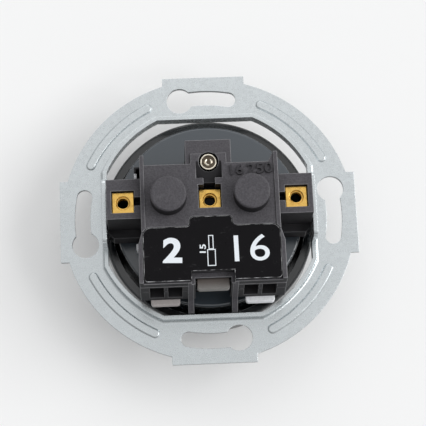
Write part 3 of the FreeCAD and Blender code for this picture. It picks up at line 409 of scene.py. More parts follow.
@dataclass(frozen=True)
class GlossPlastic(Finish):
    """Polished plastic with faint waves, a few fine scratches, scuffed edges that carry a painted highlight
    too, and painted shade on upright and sheltered faces.

    Attributes:
        scuff: share of the scuffs' colour in them.
        wave: depth of the surface's waves in millimetres.
        shine: specular level.
        worn: share of the worn colour, which is also a painted highlight, on eased edges.
        upright: brightness of upright and sheltered faces against level ones, which is painted shade.
        scuff_color: colour of the scuffs.
        wear_and_highlight_color: colour of worn edges, a painted highlight as well.
        strokes: angle in degrees and width in millimetres of each set of scratches.
        scratched: noise values between which the scratched patches fade in.
        specked: noise values between which the patches with specks do.
    """

    scuff: float = 0.35
    wave: float = 0.01
    shine: float = 0.5
    worn: float = 0.3
    upright: float = 1.0
    scuff_color: Color = (0.42, 0.42, 0.43)
    wear_and_highlight_color: Color = (0.55, 0.55, 0.56)
    strokes: tuple[Pair, ...] = ((24.0, 0.16), (-37.0, 0.2), (78.0, 0.14))
    scratched: Pair = (0.56, 0.74)
    specked: Pair = (0.50, 0.70)

    def shade(self, graph: Graph) -> None:
        """Fill the material's node tree."""
        graph.put(graph.shader.inputs["Specular IOR Level"], self.shine)
        patches = graph.noise(3.5, 4.0, 0.6)
        lines = graph.scratches(self.strokes, 0.06, 0.4)
        worn = graph.math("MULTIPLY", lines, graph.span(patches, *self.scratched))
        specks = graph.span(graph.noise(0.45, 4.0, 0.65), 0.62, 0.76, 0.0, 0.7)
        specks = graph.math("MULTIPLY", specks, graph.span(patches, *self.specked))
        marks = graph.math("MULTIPLY", graph.math("MAXIMUM", worn, specks), self.scuff)
        # Worn edges: real wear, and a painted highlight.
        wear_and_highlight = graph.wear_and_highlight(1.6, (0.42, 0.66), 0.04, self.worn)
        # Painted shade on upright and sheltered faces.
        dark = graph.math("MAXIMUM", graph.steepness(), graph.marked(SHELTERED))
        base = graph.blend(dark, self.color, tuple(self.upright * c for c in self.color))
        base = graph.blend(marks, base, self.scuff_color)
        graph.put(graph.shader.inputs["Base Color"], graph.blend(wear_and_highlight, base, self.wear_and_highlight_color))
        rough = graph.span(patches, *EVEN, self.roughness * 0.85, self.roughness * 1.2)
        rough = graph.math("ADD", rough, graph.math("MULTIPLY", marks, 0.5))
        graph.put(graph.shader.inputs["Roughness"], rough)
        waves = graph.bump(graph.noise(5.0, 2.0, 0.4), self.wave)
        graph.put(graph.shader.inputs["Normal"], graph.bump(lines, 0.001, waves))


@dataclass(frozen=True)
class ZincPlate(Finish):
    """Zinc-plated pressed sheet: fine crystal grain, rubbing marks and darker sheared edges.

    Attributes:
        edge_color: colour of the sheared edges.
        sheared_from: radius in millimetres beyond which upright faces are sheared ones.
        wall_metal: metallic share of the bent walls inside it, whose plating is dull.
        bright: brightness of the pale grains against the main colour.
        dulled: brightness of the dull ones.
        rough_edge: brightness of the torn half of a sheared edge against its smooth half.
        strokes: angle in degrees and width in millimetres of each set of scratches.
        clouded: noise values between which dull clouds fade in.
        stained: noise values between which stains do.
        upright: vertical part of the normal up to which a face is a wall, and from which it is level.
    """

    edge_color: Color = (0.26, 0.275, 0.28)
    sheared_from: float = 28.0
    wall_metal: float = 0.4
    bright: float = 1.03
    dulled: float = 0.95
    rough_edge: float = 1.3
    strokes: tuple[Pair, ...] = ((12.0, 0.12), (66.0, 0.12), (131.0, 0.12))
    clouded: Pair = (0.4, 0.7)
    stained: Pair = (0.67, 0.78)
    upright: Pair = (0.1, 0.3)

    def shade(self, graph: Graph) -> None:
        """Fill the material's node tree."""
        steep = graph.steepness(*self.upright)
        outer = graph.beyond(self.sheared_from)
        wall = graph.math("MULTIPLY", steep, graph.math("SUBTRACT", 1.0, outer))
        graph.put(graph.shader.inputs["Metallic"], graph.span(wall, 0.0, 1.0, 1.0, self.wall_metal))
        mottle = graph.noise(0.9, 6.0, 0.6)
        clouds = graph.noise(7.0, 3.0, 0.5)
        pale = tuple(self.bright * c for c in self.color)
        dull = tuple(self.dulled * c for c in self.color)
        flat = graph.blend(graph.span(mottle, *EVEN), dull, pale)
        flat = graph.blend(graph.span(clouds, *self.clouded, 0.0, 0.25), flat, dull)
        stain = graph.span(graph.noise(1.1, 4.0, 0.65), *self.stained, 0.0, 0.25)
        flat = graph.blend(stain, flat, self.edge_color)
        torn = graph.span(graph.noise(0.25, 3.0), *EVEN)
        edge = graph.blend(torn, self.edge_color, tuple(self.rough_edge * c for c in self.edge_color))
        sheared = graph.math("MULTIPLY", steep, outer)
        graph.put(graph.shader.inputs["Base Color"], graph.blend(sheared, flat, edge))
        scratch = graph.scratches(self.strokes, 0.04, 0.5)
        rough = graph.span(mottle, *EVEN, self.roughness - 0.04, self.roughness + 0.05)
        rough = graph.math("ADD", rough, graph.math("MULTIPLY", scratch, 0.1))
        graph.put(graph.shader.inputs["Roughness"], rough)
        relief = graph.bump(graph.noise(0.5, 4.0, 0.6), 0.0007)
        graph.put(graph.shader.inputs["Normal"], graph.bump(scratch, 0.001, relief))


@dataclass(frozen=True)
class TurnedMetal(Finish):
    """Bare or plated metal with tarnish, darker faces where marked sheltered, and fine tool lines.

    Attributes:
        tarnish: colour of the tarnished patches.
        lines: depth of the tool lines in millimetres.
        dimmed: brightness of faces marked sheltered, against the tarnish.
        tarnished: noise values between which the patches fade in.
        most: largest share of the tarnish.
    """

    tarnish: Color = (0.45, 0.30, 0.12)
    lines: float = 0.004
    dimmed: float = 0.12
    tarnished: Pair = (0.45, 0.8)
    most: float = 0.55

    def shade(self, graph: Graph) -> None:
        """Fill the material's node tree."""
        graph.put(graph.shader.inputs["Metallic"], 1.0)
        patches = graph.noise(1.1, 5.0, 0.6)
        base = graph.blend(graph.span(patches, *self.tarnished, 0.0, self.most), self.color, self.tarnish)
        dimmed = tuple(self.dimmed * c for c in self.tarnish)
        graph.put(graph.shader.inputs["Base Color"], graph.blend(graph.marked(SHELTERED), base, dimmed))
        rough = graph.span(patches, *EVEN, self.roughness - 0.06, self.roughness + 0.1)
        graph.put(graph.shader.inputs["Roughness"], rough)
        stroke = graph.noise(0.05, 2.0, 0.5, graph.scaled((1.0, 0.08, 1.0), 8.0))
        graph.put(graph.shader.inputs["Normal"], graph.bump(stroke, self.lines))


@dataclass(frozen=True)
class PrintedInk(Finish):
    """Pad-printed ink with pinholes.

    Attributes:
        pinhole: size of a pinhole in millimetres.
        pierced: noise values between which a pinhole fades in.
        through: share, and brightness, of what shows through it.
    """

    pinhole: float = 0.12
    pierced: Pair = (0.58, 0.7)
    through: float = 0.35

    def shade(self, graph: Graph) -> None:
        """Fill the material's node tree."""
        holes = graph.span(graph.noise(self.pinhole, 3.0, 0.6), *self.pierced, 0.0, self.through)
        below = tuple(self.through * c for c in self.color)
        graph.put(graph.shader.inputs["Base Color"], graph.blend(holes, self.color, below))


@dataclass(frozen=True)
class TableTop(Finish):
    """Matte pale table with hardly any cloudiness, clear from below so that the front can be seen.

    Attributes:
        lift: share of plain white that the camera and reflections see in it, which lights no matte face.
        white: brightness of that white.
        cloud: size of the cloudiness in millimetres.
        clouded: brightness of its darker places.
    """

    lift: float = 0.2
    white: float = 0.93
    cloud: float = 120.0
    clouded: float = 0.985

    def shade(self, graph: Graph) -> None:
        """Fill the material's node tree."""
        darker = tuple(self.clouded * c for c in self.color)
        base = graph.blend(graph.noise(self.cloud, 2.0, 0.5), darker, self.color)
        graph.put(graph.shader.inputs["Base Color"], base)
        path = graph.node("LightPath").outputs
        seen = graph.math("MAXIMUM", path["Is Camera Ray"], path["Is Glossy Ray"])
        seen = graph.math("MAXIMUM", seen, path["Is Transmission Ray"])
        glow = graph.node("Emission", Color=(self.white, self.white, self.white, 1.0))
        pale = self.mixed(graph, graph.math("MULTIPLY", seen, self.lift), graph.shader, glow)
        passed = graph.math("GREATER_THAN", path["Transparent Depth"], 0.5)
        below = graph.math("MAXIMUM", passed, graph.node("NewGeometry").outputs["Backfacing"])
        sides = self.mixed(graph, below, pale, graph.node("BsdfTransparent"))
        graph.put(graph.output.inputs[0], sides.outputs[0])

    @staticmethod
    def mixed(graph: Graph, share: Socket, first: bpy.types.Node, second: bpy.types.Node) -> bpy.types.Node:
        """Mix two shaders.

        Args:
            graph: the material's nodes.
            share: share of the second one.
            first: shader at a share of 0.
            second: shader at a share of 1.

        Returns:
            The mixing node.
        """
        made = graph.node("MixShader")
        for socket, value in zip(made.inputs, (share, first.outputs[0], second.outputs[0])):
            graph.put(socket, value)
        return made


ZINC = ZincPlate("zinc_plate", "zinc_steel", (0.63, 0.665, 0.68), 0.27)
# The screw's zinc is dark, and darker still on its cone and the shank under it.
SCREW_ZINC = TurnedMetal("screw_zinc", "zinc_steel", (0.22, 0.22, 0.22), 0.4, (0.10, 0.10, 0.10))
# Painted shade on the housing's upright faces and hollows; its worn edges, leg fronts and boss rims carry
# painted highlights.
HOUSING_BLACK = MouldedPlastic("housing_black", "black_matte", (0.080, 0.076, 0.085), 0.6, grain=0.34,
                               relief=0.02, dust=0.10, upright=0.22, worn=0.55, wear_and_highlight_color=(0.30, 0.30, 0.31),
                               shine=0.2, contrast=0.38)
# Painted shade: the raised digits are darker than the housing they are moulded in, with darker upright sides;
# their worn edges carry a painted highlight.
SHADED_DIGIT_BLACK = MouldedPlastic("shaded_digit_black", "black_matte", (0.045, 0.043, 0.048), 0.6, grain=0.34,
                             relief=0.02, dust=0.05, upright=0.1, worn=0.6, wear_and_highlight_color=(0.26, 0.26, 0.27),
                             shine=0.2, contrast=0.38)
# Painted shade: the cover's upright faces and its sheltered wall are darkened; its worn edges carry a painted
# highlight.
COVER_BLACK = GlossPlastic("cover_black", "black_gloss", (0.040, 0.050, 0.061), 0.16, scuff=0.10,
                           wave=0.006, shine=0.95, worn=0.45, upright=0.15)
# The lid's worn edges carry a painted highlight as well as wear.
LID_BLACK = GlossPlastic("lid_black", "black_gloss", (0.004, 0.0035, 0.0045), 0.3, scuff=0.26,
                         wave=0.01, shine=0.10, worn=0.95)
WHITE = MouldedPlastic("plain_white", "white_plastic", (0.90, 0.91, 0.94), 0.4, grain=0.3,
                       relief=0.004, dust=0.1, dust_color=(0.6, 0.6, 0.6))
# Painted shade: this white, for the left release button, is darkened.
SHADED_WHITE = MouldedPlastic("shaded_white", "white_plastic", (0.46, 0.42, 0.41), 0.45, grain=0.3,
                            relief=0.004, dust=0.2, dust_color=(0.35, 0.33, 0.32))
# Painted shade: the earth button's ivory is darkened all over, and darker still towards the lid.
IVORY = MouldedPlastic("shaded_ivory", "ivory_plastic", (0.17, 0.163, 0.155), 0.42, grain=0.3,
                       relief=0.004, dust=0.1, dust_color=(0.3, 0.29, 0.27), dim=(-21.0, -19.3))
BRASS = TurnedMetal("bare_brass", "brass", (0.87, 0.545, 0.145), 0.27, (0.38, 0.19, 0.04))
NICKEL = TurnedMetal("plated_nickel", "nickel", (0.80, 0.74, 0.62), 0.2, (0.5, 0.43, 0.32))
OLD_NICKEL = TurnedMetal("tarnished_nickel", "nickel", (0.10, 0.08, 0.06), 0.45, (0.04, 0.03, 0.02))
SPRING = TurnedMetal("spring_steel", "spring_steel", (0.62, 0.63, 0.65), 0.24, (0.4, 0.4, 0.4))
INK = PrintedInk("white_ink", "black_gloss", (0.74, 0.78, 0.82), 0.5)


# Meshes


def dress(piece: Piece, finish: Finish) -> None:
    """Give a piece one finish in all its material slots."""
    piece.data.materials.clear()
    piece.data.materials.append(finish.material())


def as_object(name: str, mesh: bpy.types.Mesh) -> Piece:
    """Put a mesh into the scene as an object at the origin.

    Args:
        name: name of the object.
        mesh: its mesh.

    Returns:
        The new object.
    """
    made = bpy.data.objects.new(name, mesh)
    bpy.context.scene.collection.objects.link(made)
    return made


def seat(piece: Piece, finish: Finish, body: str = INSERT, stands_for: Sequence[str] = ()) -> None:
    """Dress a new piece, let it ride on a body and hide the CAD nodes it stands for.

    Args:
        piece: the piece, with its place in its mesh.
        finish: its finish.
        body: the CAD body that it rides on.
        stands_for: CAD nodes that it hides.
    """
    dress(piece, finish)
    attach(piece, body)
    if stands_for:
        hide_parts(*stands_for)
    LOG.info("%s: %d faces", piece.name, len(piece.data.polygons))


def merged(node: str) -> Solid:
    """Copy a CAD node's mesh, merge its doubled points and join its flat faces.

    Args:
        node: name of the node.

    Returns:
        The copy.
    """
    solid = bmesh.new()
    solid.from_mesh(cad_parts[node].data)
    bmesh.ops.remove_doubles(solid, verts=solid.verts, dist=MERGED)
    bmesh.ops.dissolve_limit(solid, angle_limit=FLAT, verts=solid.verts, edges=solid.edges)
    return solid


def ease(solid: Solid, width: float, segments: int = 2, angle: float = 35.0,
         keep: Callable[[bmesh.types.BMEdge], bool] = lambda edge: True) -> None:
    """Round a solid's sharp outer edges.

    Args:
        solid: the mesh that is changed.
        width: width of the rounding in millimetres.
        segments: faces across the rounding.
        angle: smallest angle, in degrees, that counts as sharp.
        keep: test that an edge also has to pass.
    """
    mark = solid.faces.layers.float.get(EASED) or solid.faces.layers.float.new(EASED)
    sharp = [e for e in solid.edges if len(e.link_faces) == 2 and e.is_convex
             and e.calc_face_angle(0.0) > math.radians(angle) and keep(e)]
    rounded = bmesh.ops.bevel(solid, geom=sharp, offset=width * MM, segments=segments, profile=0.5,
                              affect="EDGES", clamp_overlap=False, miter_outer="SHARP",
                              miter_inner="SHARP", loop_slide=True)
    for face in rounded["faces"]:
        face[mark] = 1.0


def shelter(solid: Solid, share: Callable[[Vector], float]) -> None:
    """Note on each face its share of painted shade, which also keeps dust and wear off it.

    Args:
        solid: the mesh.
        share: value from a face's middle in millimetres: 1 for painted shade in a hollow, below 0 for a
            painted highlight.
    """
    mark = solid.faces.layers.float.get(SHELTERED) or solid.faces.layers.float.new(SHELTERED)
    for face in solid.faces:
        face[mark] = float(share(face.calc_center_median() / MM))


def between(low: float, high: float) -> Callable[[Vector], float]:
    """Shelter of 1 between two heights in millimetres."""
    return lambda middle: float(low < middle.z < high)


def finished(name: str, solid: Solid, smooth: float = 32.0) -> Piece:
    """Turn a solid into an object with smooth shading below an angle.

    Args:
        name: name of the object.
        solid: the mesh, which is freed.
        smooth: largest angle, in degrees, that is shaded smooth.

    Returns:
        The new object.
    """
    mesh = bpy.data.meshes.new(name)
    solid.to_mesh(mesh)
    solid.free()
    mesh.polygons.foreach_set("use_smooth", [True] * len(mesh.polygons))
    mesh.set_sharp_from_angle(angle=math.radians(smooth))
    mesh.update()
    piece = as_object(name, mesh)
    even = piece.modifiers.new("even_shading", "WEIGHTED_NORMAL")
    even.keep_sharp = True
    even.weight = LARGE_FACES_LEAD
    return piece


def apart(name: str, curve: bpy.types.Curve) -> bpy.types.Mesh:
    """Turn a curve into a plain mesh and remove the curve.

    Args:
        name: name of the mesh.
        curve: the curve.

    Returns:
        The mesh.
    """
    drawn = as_object(name, curve)
    mesh = bpy.data.meshes.new_from_object(drawn.evaluated_get(bpy.context.evaluated_depsgraph_get()))
    bpy.data.objects.remove(drawn)
    bpy.data.curves.remove(curve)
    return mesh


@dataclass(frozen=True)
class Digits:
    """Plain digits on a face.

    Attributes:
        says: what they say.
        middle: their middle in X and Y, in millimetres.
        width: their width.
        height: their height.
        bold: widening of the strokes, against the height of a digit.
        turn: angle about Z in degrees.
    """

    says: str
    middle: Pair
    width: float
    height: float
    bold: float = 0.0
    turn: float = 0.0


def add_digits(solid: Solid, digits: Digits, foot: float, thickness: float) -> None:
    """Add digits to a mesh.

    Args:
        solid: the mesh that they are added to.
        digits: the digits.
        foot: height of their lower side in millimetres.
        thickness: how far they stand up.
    """
    curve = bpy.data.curves.new("digits", "FONT")
    curve.body = digits.says
    curve.extrude = 0.5
    curve.offset = digits.bold
    curve.resolution_u = 6
    mesh = apart("digits", curve)
    low = [min(v.co[i] for v in mesh.vertices) for i in range(3)]
    high = [max(v.co[i] for v in mesh.vertices) for i in range(3)]
    centre = Vector(((low[0] + high[0]) / 2, (low[1] + high[1]) / 2, low[2]))
    wanted = (digits.width, digits.height, thickness)
    size = (MM * wanted[i] / (high[i] - low[i]) for i in range(3))
    turn = Matrix.Rotation(math.radians(digits.turn), 4, "Z")
    place = Matrix.Translation(Vector((*digits.middle, foot)) * MM)
    mesh.transform(place @ turn @ Matrix.Diagonal((*size, 1.0)) @ Matrix.Translation(-centre))
    solid.from_mesh(mesh)
    bpy.data.meshes.remove(mesh)


def add_frame(solid: Solid, corner: Pair, far: Pair, line: float, low: float, thickness: float) -> None:
    """Add the flat outline of a rectangle to a mesh.

    Args:
        solid: the mesh that it is added to.
        corner: outer corner with the smallest X and Y, in millimetres.
        far: outer corner with the largest X and Y.
        line: width of the line.
        low: height of its lower side.
        thickness: its thickness.
    """
    rings = []
    for inset in (0.0, line):
        for high in (low, low + thickness):
            x0, y0, x1, y1 = corner[0] + inset, corner[1] + inset, far[0] - inset, far[1] - inset
            rings.append([solid.verts.new(Vector((x, y, high)) * MM)
                          for x, y in ((x0, y0), (x1, y0), (x1, y1), (x0, y1))])
    outer_low, outer_high, inner_low, inner_high = rings
    around = (outer_low, outer_high, inner_high, inner_low, outer_low)
    for a, b in zip(around, around[1:]):
        for i in range(4):
            j = (i + 1) % 4
            solid.faces.new((a[i], a[j], b[j], b[i]))


def thread_tree() -> bpy.types.NodeTree:
    """Make the node tree that sweeps a ridge along a helix, or find it again.

    Returns:
        The tree, whose named inputs are the helix's and the ridge's sizes.
    """
    found = bpy.data.node_groups.get("thread_ridge")
    if found:
        return found
    tree = bpy.data.node_groups.new("thread_ridge", "GeometryNodeTree")
    for word in ("Radius", "Height", "Turns", "Depth"):
        tree.interface.new_socket(name=word, in_out="INPUT", socket_type="NodeSocketFloat")
    tree.interface.new_socket(name="Metal", in_out="INPUT", socket_type="NodeSocketMaterial")
    tree.interface.new_socket(name="Geometry", in_out="OUTPUT", socket_type="NodeSocketGeometry")
    given, result = tree.nodes.new("NodeGroupInput"), tree.nodes.new("NodeGroupOutput")
    helix = tree.nodes.new("GeometryNodeCurveSpiral")
    helix.inputs["Resolution"].default_value = THREAD_STEPS
    section = tree.nodes.new("GeometryNodeCurvePrimitiveCircle")
    section.inputs["Resolution"].default_value = THREAD_CORNERS
    sweep = tree.nodes.new("GeometryNodeCurveToMesh")
    sweep.inputs["Fill Caps"].default_value = True
    real = tree.nodes.new("GeometryNodeRealizeInstances")
    metal = tree.nodes.new("GeometryNodeSetMaterial")
    for start, end in (
        (given.outputs["Radius"], helix.inputs["Start Radius"]),
        (given.outputs["Radius"], helix.inputs["End Radius"]),
        (given.outputs["Height"], helix.inputs["Height"]),
        (given.outputs["Turns"], helix.inputs["Rotations"]),
        (given.outputs["Depth"], section.inputs["Radius"]),
        (given.outputs["Metal"], metal.inputs["Material"]),
        (helix.outputs[0], sweep.inputs["Curve"]),
        (section.outputs[0], sweep.inputs["Profile Curve"]),
        (sweep.outputs[0], real.inputs[0]),
        (real.outputs[0], metal.inputs["Geometry"]),
        (metal.outputs[0], result.inputs[0]),
    ):
        tree.links.new(start, end)
    return tree


def add_thread(solid: Solid, foot: Point, radius: float, height: float, finish: Finish,
               pitch: float = 0.5) -> None:
    """Add the ridge of an upright screw thread to a mesh.

    Args:
        solid: the mesh that it is added to.
        foot: lower end of its axis, in millimetres.
        radius: radius of the ridge's middle line.
        height: length of the thread.
        finish: finish of the metal.
        pitch: rise in one turn.
    """
    maker = as_object("thread", bpy.data.meshes.new("thread"))
    ridge = maker.modifiers.new("thread", "NODES")
    ridge.node_group = thread_tree()
    values = {"Radius": radius * MM, "Height": height * MM, "Turns": height / pitch,
              "Depth": 0.5 * pitch * MM, "Metal": finish.material()}
    for socket in ridge.node_group.interface.items_tree:
        if socket.in_out == "INPUT":
            ridge[socket.identifier] = values[socket.name]
    mesh = bpy.data.meshes.new_from_object(maker.evaluated_get(bpy.context.evaluated_depsgraph_get()))
    bpy.data.objects.remove(maker)
    mesh.transform(Matrix.Translation(Vector(foot) * MM))
    solid.from_mesh(mesh)
    bpy.data.meshes.remove(mesh)


# The insert


@dataclass
class CadPieces:
    """CAD nodes that show as they are.

    Attributes:
        finish: their finish.
        nodes: their names.
    """

    finish: Finish
    nodes: tuple[str, ...]

    def build(self) -> None:
        """Give each node its material."""
        for node in self.nodes:
            dress(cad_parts[node], self.finish)
            LOG.info("%s: CAD node with %s", node, self.finish.name)


@dataclass
class EasedPiece:
    """A copy of a CAD node with rounded edges.

    Attributes:
        node: the CAD node that it stands for.
        finish: its finish.
        width: width of the rounding in millimetres.
        body: the CAD body that it rides on.
        sheltered: share of painted shade on a face, below 0 a painted highlight, from its middle in
            millimetres.
    """

    node: str
    finish: Finish
    width: float = 0.15
    body: str = INSERT
    sheltered: Callable[[Vector], float] = lambda middle: 0.0

    def build(self) -> None:
        """Make the piece."""
        solid = merged(self.node)
        ease(solid, self.width)
        shelter(solid, self.sheltered)
        seat(finished(f"{self.node}_eased", solid), self.finish, self.body, [self.node])


@dataclass
class SupportRing:
    """Pressed ring whose beads have a flat top, narrow flanks and round ends.

    Attributes:
        back: height of the ring's back face in millimetres.
        circle: radius of the beads' middle line.
        beads: how many there are.
        first: angle of the first bead's middle in degrees.
        reach: half of the CAD bead's width, with a little room.
        half_angle: half of the middle line's angle in degrees.
        steps: half width and height above the back of the bead's flank, from its foot to its top.
        parts: faces along a bead.
        cap: faces round each end.
        rim: width of the rounding on the ring's edges.
        flattened: distance within which the CAD beads' flattened points are joined.
    """

    back: float = 14.0
    circle: float = 31.1
    beads: int = 4
    first: float = 45.0
    reach: float = 1.06
    half_angle: float = 18.7
    steps: tuple[Pair, ...] = (
        (1.18, -0.06), (1.14, 0.01), (1.05, 0.09), (0.92, 0.26), (0.84, 0.33), (0.74, 0.35))
    parts: int = 36
    cap: int = 12
    rim: float = 0.08
    flattened: float = 0.001

    def build(self) -> None:
        """Make the ring."""
        solid = merged("support_ring")
        for vertex in solid.verts:
            away = abs(vertex.co.xy.length / MM - self.circle)
            if vertex.co.z > (self.back + 0.01) * MM and away < self.reach:
                vertex.co.z = self.back * MM
        bmesh.ops.remove_doubles(solid, verts=solid.verts, dist=self.flattened * MM)
        bmesh.ops.dissolve_degenerate(solid, dist=self.flattened * MM, edges=solid.edges)
        bmesh.ops.dissolve_limit(solid, angle_limit=FLAT, verts=solid.verts, edges=solid.edges)
        ease(solid, self.rim)
        for number in range(self.beads):
            self.bead(solid, math.radians(self.first + 360.0 * number / self.beads))
        seat(finished("support_ring_pressed", solid), ZINC, INSERT, ["support_ring"])

    def bead(self, solid: Solid, middle: float) -> None:
        """Add one bead to the ring.

        Args:
            solid: the ring's mesh.
            middle: angle of the bead's middle in radians.
        """
        lines = [self.line(middle, half, self.back + rise) for half, rise in self.steps]
        loops = [[solid.verts.new(point) for point in line] for line in lines]
        count = len(loops[0])
        for lower, upper in zip(loops, loops[1:]):
            for i in range(count):
                j = (i + 1) % count
                solid.faces.new((lower[i], lower[j], upper[j], upper[i]))
        solid.faces.new(loops[-1])
        solid.faces.new(reversed(loops[0]))

    def line(self, middle: float, half: float, height: float) -> list[Vector]:
        """Closed line at a distance from the bead's middle line.

        Args:
            middle: angle of the bead's middle in radians.
            half: distance from the middle line in millimetres.
            height: height in millimetres.

        Returns:
            The line's points in metres, anticlockwise seen from above.
        """
        lean = math.radians(self.half_angle)
        points = []
        for side in (1, -1):
            radius, away = self.circle + side * half, middle + side * lean
            for i in range(self.parts + 1):
                turn = middle + side * lean * (2 * i / self.parts - 1)
                points.append((radius * math.cos(turn), radius * math.sin(turn)))
            for i in range(1, self.cap):
                turn = away + math.pi * (i / self.cap + (side < 0))
                points.append((self.circle * math.cos(away) + half * math.cos(turn),
                               self.circle * math.sin(away) + half * math.sin(turn)))
        return [Vector((x, y, height)) * MM for x, y in points]


@dataclass
class ThreadedNut:
    """Square brass nut with a real thread in place of the plain bore.

    Attributes:
        place: which of the three nuts it is.
        spacing: distance of the outer nuts' axes from the middle in millimetres.
        low: height of its lower side.
        thickness: its thickness.
        core: radius of the CAD nut's bore, which the thread's tips keep.
        groove: radius of the thread's grooves.
        countersink: depth of the countersink.
        near: radius that parts the bore's edges from the outer ones.
        rim: width of the rounding on the outer edges.
        bore_rim: width of the rounding round the bore.
        start: height at which the thread starts above the lower side.
        plain: part of the bore's length that the thread leaves plain.
    """

    place: Place
    spacing: float = 20.0
    low: float = 26.05
    thickness: float = 2.4
    core: float = 1.25
    groove: float = 1.5
    countersink: float = 0.45
    near: float = 2.0
    rim: float = 0.14
    bore_rim: float = 0.05
    start: float = 0.2
    plain: float = 0.25

    def build(self) -> None:
        """Make the nut."""
        node = f"nut_{self.place.word}"
        across = self.place.value * self.spacing
        solid = merged(node)
        axis = Vector((across * MM, 0.0))
        for vertex in solid.verts:
            out = vertex.co.xy - axis
            if out.length < (self.core + SLACK) * MM:
                vertex.co.xy = axis + out * (self.groove / self.core)
        near = self.near * MM
        ease(solid, self.rim, keep=lambda edge: all((v.co.xy - axis).length > near for v in edge.verts))
        ease(solid, self.bore_rim, angle=30.0,
             keep=lambda edge: all((v.co.xy - axis).length < near for v in edge.verts))
        height = self.thickness - self.countersink - self.plain
        add_thread(solid, (across, 0.0, self.low + self.start), self.groove, height, BRASS)
        seat(finished(f"{node}_threaded", solid), BRASS, INSERT, [node])


@dataclass
class PointedScrew:
    """Cover screw with a cone point under the centre nut.

    Attributes:
        shoulder: height where the cone starts, in millimetres.
        point: radius of the cone's tip.
        length: length of the cone.
        core: radius of the CAD screw's shank.
        end: height of the CAD screw's end.
        rim: width of the rounding on its edges.
        dark_length: length of the shank under the cone that is as dark as the cone.
    """

    shoulder: float = 25.3
    point: float = 0.25
    length: float = 0.5
    core: float = 1.22
    end: float = 26.66
    rim: float = 0.08
    dark_length: float = 1.0

    def build(self) -> None:
        """Make the screw."""
        solid = merged("cover_screw")
        bmesh.ops.bisect_plane(solid, geom=list(solid.verts) + list(solid.edges) + list(solid.faces),
                               plane_co=(0.0, 0.0, self.shoulder * MM), plane_no=(0.0, 0.0, 1.0))
        for vertex in solid.verts:
            if vertex.co.z > (self.end - SLACK) * MM:
                vertex.co.xy *= self.point / self.core
                vertex.co.z = (self.shoulder + self.length) * MM
        ease(solid, self.rim)
        shelter(solid, between(self.shoulder - self.dark_length, self.end))
        seat(finished("cover_screw_pointed", solid), SCREW_ZINC, INSERT, ["cover_screw"])


@dataclass
class EarthTail:
    """Riveted rear end of the earth pin: a thin rim round a dark dish with a split, upset middle.

    Attributes:
        middle: place of its axis in millimetres.
        dish: radius of the CAD dish.
        wide_dish: radius of the dish as it shows.
        floor: height of the CAD dish's floor, or a little under it.
        bed: height of the top of the dark bed, which covers the CAD rivet and carries the lobes.
        bed_depth: thickness of the bed.
        bed_gap: how far the bed's foot and its top stay inside the dish.
        bed_rim: width of the rounding on the bed.
        lobe: radius of the lobes' middle line.
        lobe_width: radius of the lobes' section.
        taper: thickness of a lobe at its ends, and what its middle adds, against that radius.
        arcs: start and end of each lobe in degrees.
        steps: parts of a lobe's line.
        rim: width of the rounding on the pin.
    """

    middle: Pair = (0.0, 8.5)
    dish: float = 1.3
    wide_dish: float = 1.55
    floor: float = 30.1
    bed: float = 30.48
    bed_depth: float = 0.24
    bed_gap: Pair = (0.01, 0.08)
    bed_rim: float = 0.04
    lobe: float = 0.72
    lobe_width: float = 0.27
    taper: Pair = (0.7, 0.5)
    arcs: tuple[Pair, ...] = ((120.0, 285.0), (-40.0, 55.0))
    steps: int = 6
    rim: float = 0.12

    def build(self) -> None:
        """Make the pin's copy, the bed and the lobes."""
        self.pin()
        self.dark_bed()
        self.lobes()

    def pin(self) -> None:
        """Make the pin with a wider dish and a rounded rim."""
        axis = Vector(self.middle) * MM
        pin = merged("earth_pin")
        for vertex in pin.verts:
            out = vertex.co.xy - axis
            if vertex.co.z > self.floor * MM and abs(out.length - self.dish * MM) < SLACK * MM:
                vertex.co.xy = axis + out * (self.wide_dish / self.dish)
        ease(pin, self.rim)
        seat(finished("earth_pin_eased", pin), NICKEL, INSERT, ["earth_pin"])

    def dark_bed(self) -> None:
        """Make the tarnished bed that fills the dish."""
        foot, top = (self.wide_dish - gap for gap in self.bed_gap)
        place = Matrix.Translation(Vector((*self.middle, self.bed - 0.5 * self.bed_depth)) * MM)
        bed = bmesh.new()
        bmesh.ops.create_cone(bed, cap_ends=True, segments=48, radius1=foot * MM, radius2=top * MM,
                              depth=self.bed_depth * MM, matrix=place)
        corners = [edge for edge in bed.edges if edge.calc_face_angle(0.0) > math.radians(35.0)]
        bmesh.ops.bevel(bed, geom=corners, offset=self.bed_rim * MM, segments=2, affect="EDGES", profile=0.5)
        seat(finished("earth_tail_bed", bed), OLD_NICKEL)

    def lobes(self) -> None:
        """Make the split rivet's lobes, thickest in their middle."""
        curve = bpy.data.curves.new("lobes", "CURVE")
        curve.dimensions = "3D"
        curve.bevel_depth = self.lobe_width * MM
        curve.bevel_resolution = 4
        curve.use_fill_caps = True
        thin, swell = self.taper
        for start, end in self.arcs:
            line = curve.splines.new("NURBS")
            line.points.add(self.steps)
            line.use_endpoint_u = True
            line.order_u = 3
            for i, point in enumerate(line.points):
                turn = math.radians(start + (end - start) * i / self.steps)
                across = self.middle[0] + self.lobe * math.cos(turn)
                along = self.middle[1] + self.lobe * math.sin(turn)
                point.co = (across * MM, along * MM, self.bed * MM, 1.0)
                point.radius = thin + swell * math.sin(math.pi * i / self.steps)
        lobes = bmesh.new()
        lobes.from_mesh(apart("lobes", curve))
        bmesh.ops.remove_doubles(lobes, verts=lobes.verts, dist=MERGED)
        seat(finished("earth_tail_lobes", lobes, smooth=50.0), NICKEL)


